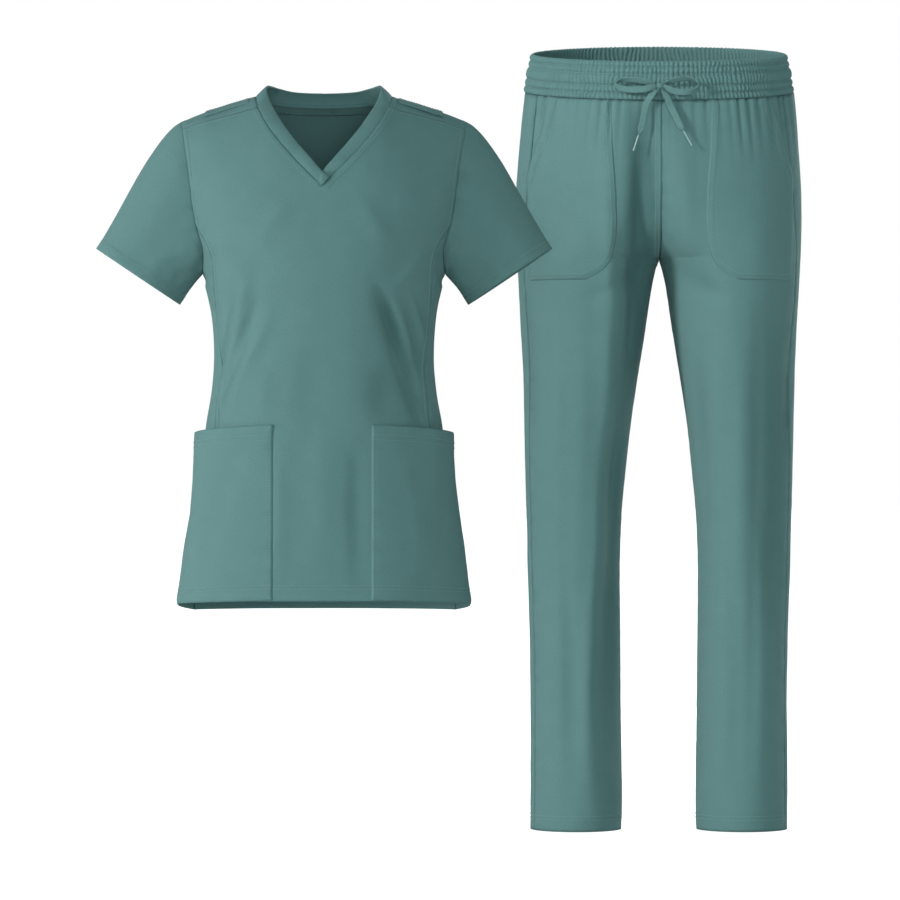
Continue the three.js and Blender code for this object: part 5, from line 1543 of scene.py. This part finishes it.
def makeWaistband():
    # channels up the outside, over a soft top roll and down the ribbed inside
    angle = np.linspace(0, 2 * math.pi, bandShape["columns"] + 1)[None, :]
    around = angle * 140
    lowest = 0.6 / bandShape["height"]
    outer = np.linspace(lowest, 0.985, bandShape["outerRows"])[:, None]
    full, crest = channelShape(outer)
    wave = gatherWave(around, outer * 60, 171)
    out = crest + bandShape["gatherHeight"] * (0.4 + 0.6 * full) * wave
    outerGrid = waistPoint(angle, outer + 0 * angle, out)
    turn = np.linspace(0, math.pi, bandShape["rollRows"] + 2)[1:-1, None]
    thick = bandShape["wall"]
    edgeWave = gatherWave(around, 0 * around + 60, 171) * bandShape["gatherHeight"]
    rollOut = 0.4 + 0.5 * edgeWave - thick / 2 * (1 - np.cos(turn)) - 0.2
    rollRise = 0.985 + (0.9 * np.sin(turn) + 0.5 * edgeWave * np.sin(turn)) / bandShape["height"]
    rollGrid = waistPoint(angle, rollRise + 0 * angle, rollOut)
    inner = np.linspace(0.985, lowest, bandShape["innerRows"])[:, None]
    rib = gatherWave(around, inner * 40, 191) * bandShape["innerRib"]
    innerGrid = waistPoint(angle, inner + 0 * angle, -thick - 0.3 + rib)
    grid = np.concatenate([outerGrid, rollGrid, innerGrid, outerGrid[:1]]) + trousersPlace
    rowsDown = np.concatenate([outer[:, 0], rollRise.mean(axis=1), 2 - inner[:, 0], [2.0]]) * bandShape["height"]
    chart = np.stack(np.broadcast_arrays(around * 1.25, rowsDown[:, None]), axis=2)
    # painted shade: how far each point's colour is darkened, deeper in a valley or stitched row
    bandPaintedShade = np.clip(0.1 - wave, 0, 1) * 0.45 + 0.3 * (1 - full)
    rollPaintedShade = np.clip(0.2 - edgeWave / bandShape["gatherHeight"], 0, 1) * 0.5 + 0 * turn
    innerPaintedShade = np.clip(0.3 - rib / bandShape["innerRib"], 0, 1) * 0.8 + 0 * inner
    paintedShade = np.concatenate([bandPaintedShade, rollPaintedShade, innerPaintedShade, bandPaintedShade[:1]])
    points, maps, quads = joinGrids([(grid, chart, True)])
    paintedShadeShare = valueOfJoined(grid, paintedShade)
    piece = makeObject("waistband_cloth", points, quads, maps, scrubCloth, "waistband", paintedShadeShare=paintedShadeShare)
    tree = surfaceTree(piece)
    steps = np.linspace(0, 2 * math.pi, 400)
    for rise in channels["edge"][1:-1]:
        sewRow("trousers", tree, waistPoint(steps, np.full(400, rise), np.full(400, 1.2)) + trousersPlace)
    print("waistband made:", len(piece.data.polygons), "faces")
    return piece


trouserPocket = {
    "z": [-221, -211, -197, -178, -155, -125, -95, -69, -48, -25, -6],
    "inner": [96, 78, 66, 59, 56, 56, 57.5, 59.5, 61, 62, 63],
    "outer": [164, 165, 166, 167, 168, 168, 168, 162, 154, 146, 139],
}
pocketCut = {"rows": 92, "columns": 46, "gap": 0.5, "wall": 0.9, "flat": 1.3}


def makeTrouserPockets():
    # patch lying on the leg between its inner and outer edge at each height
    for side, label in ((-1, "left"), (1, "right")):
        z = np.linspace(-0.6, -221, pocketCut["rows"] + 1)[:, None]
        share = np.linspace(0, 1, pocketCut["columns"] + 1)[None, :]
        x = lerp(read(trouserPocket, "z", z, "inner"), read(trouserPocket, "z", z, "outer"), share)
        z = z + 0 * share
        outer = read(leg, "z", z, "outer")
        below = z <= trousers["crotch"]
        apart = read(leg, "z", z, "apart")
        centre = np.where(below, (outer + read(leg, "z", z, "inner")) / 2, outer - outer / (1 + apart))
        width = np.where(below, outer - centre, outer / (1 + apart))
        angle = np.arccos(np.clip((x - centre) / width, -1, 1))
        grid = legPoint(side, angle, z)
        depth = read(leg, "z", z, "front")
        outward = np.stack([(grid[..., 0] - side * centre) / width ** 2, grid[..., 1] / depth ** 2, 0 * depth], 2)
        around = np.arctan2(-grid[..., 1], grid[..., 0]) * 140
        lift = pocketCut["gap"] + pocketCut["wall"] + legGatherHeight(around, z)
        grid = grid + unit(outward) * lift[..., None] + trousersPlace
        slant = int(np.argmax(z[:, 0] < -95))
        inner = np.concatenate([grid[:, 0], grid[-1, 1:]])
        seams = [
            (inner, (2.2, 7.6), 0.3), (grid[:slant, -1], (10.6, 13.8), 0.3), (grid[slant:, -1], (), 0.3),
        ]
        sewn = np.concatenate([grid[0, ::-1], inner, grid[slant:, -1][::-1]])

        def sunkEdge(points):
            # the sewn edges lie down on the leg
            return -pocketCut["flat"] * (1 - smoothStep(0, 7, nearestOnPath(points, sewn)[0]))
        name = "trouser_pocket_" + label
        piece = makePanel(name, [(grid, side > 0)], pocketCut["wall"], seams, 156 + side, broad=0.5,
                          fine=0.14, held=False, extra=sunkEdge, paintedShadeOf=legPaintedShade)
        tree = surfaceTree(piece)
        middle = grid[len(grid) // 2, pocketCut["columns"] // 2]
        for path, distance, ends in (
            (inner, 2.2, (3, 3)), (inner, 7.6, (3, 8)), (grid[:slant + 3, -1], 10.6, (3, 1)),
            (grid[:slant + 3, -1], 13.8, (3, 1)),
        ):
            sewRow("trousers", tree, besidePath(tree, path, distance, middle), ends)
        print(name, "made")


makeLegPanels()
makeWaistband()
makeTrouserPockets()
for garment in ("top", "trousers"):
    makeAllowances(garment)
    makeStitches(garment, sewingThread)

# Each piece of cloth as it was cut, in metres and square metres, how it is held and what it is sewn to
cuts = {
    "top_front": (0.372, 0.660, 0.193, "hung", ("top_back",)),
    "top_back": (0.360, 0.650, 0.218, "hung", ("top_front",)),
    "side_panel_left": (0.163, 0.455, 0.048, "hung", ("top_front", "top_back")),
    "side_panel_right": (0.163, 0.455, 0.048, "hung", ("top_front", "top_back")),
    "sleeve_left": (0.455, 0.180, 0.045, "draped", ("top_front", "top_back")),
    "sleeve_right": (0.455, 0.180, 0.045, "draped", ("top_front", "top_back")),
    "neckband": (0.600, 0.023, 0.0125, "stretched", ("top_front", "top_back")),
    "neck_tape": (0.161, 0.011, 0.0017, "laid", ("top_back",)),
    "shoulder_loop_left": (0.058, 0.026, 0.00146, "laid", ("top_front", "top_back")),
    "shoulder_loop_right": (0.058, 0.026, 0.00146, "laid", ("top_front", "top_back")),
    "top_pocket_left": (0.210, 0.214, 0.043, "hung", ("top_front", "side_panel_left")),
    "top_pocket_right": (0.210, 0.214, 0.043, "hung", ("top_front", "side_panel_right")),
    "leg_front_left": (0.257, 0.950, 0.175, "hung", ("waistband",)),
    "leg_front_right": (0.257, 0.950, 0.175, "hung", ("waistband",)),
    "leg_back_left": (0.361, 0.975, 0.250, "hung", ("waistband",)),
    "leg_back_right": (0.361, 0.975, 0.250, "hung", ("waistband",)),
    "trouser_pocket_left": (0.135, 0.237, 0.0275, "laid", ("leg_front_left",)),
    "trouser_pocket_right": (0.135, 0.237, 0.0275, "laid", ("leg_front_right",)),
    "waistband": (1.150, 0.052, 0.058, "gathered", ("leg_front_left", "leg_front_right")),
}
sewnTo = {"top_front": "top", "waistband": "trousers"}  # the garment whose sewing goes with that piece
for name, (width, length, area, held, carriers) in cuts.items():
    garment = sewnTo.get(name)
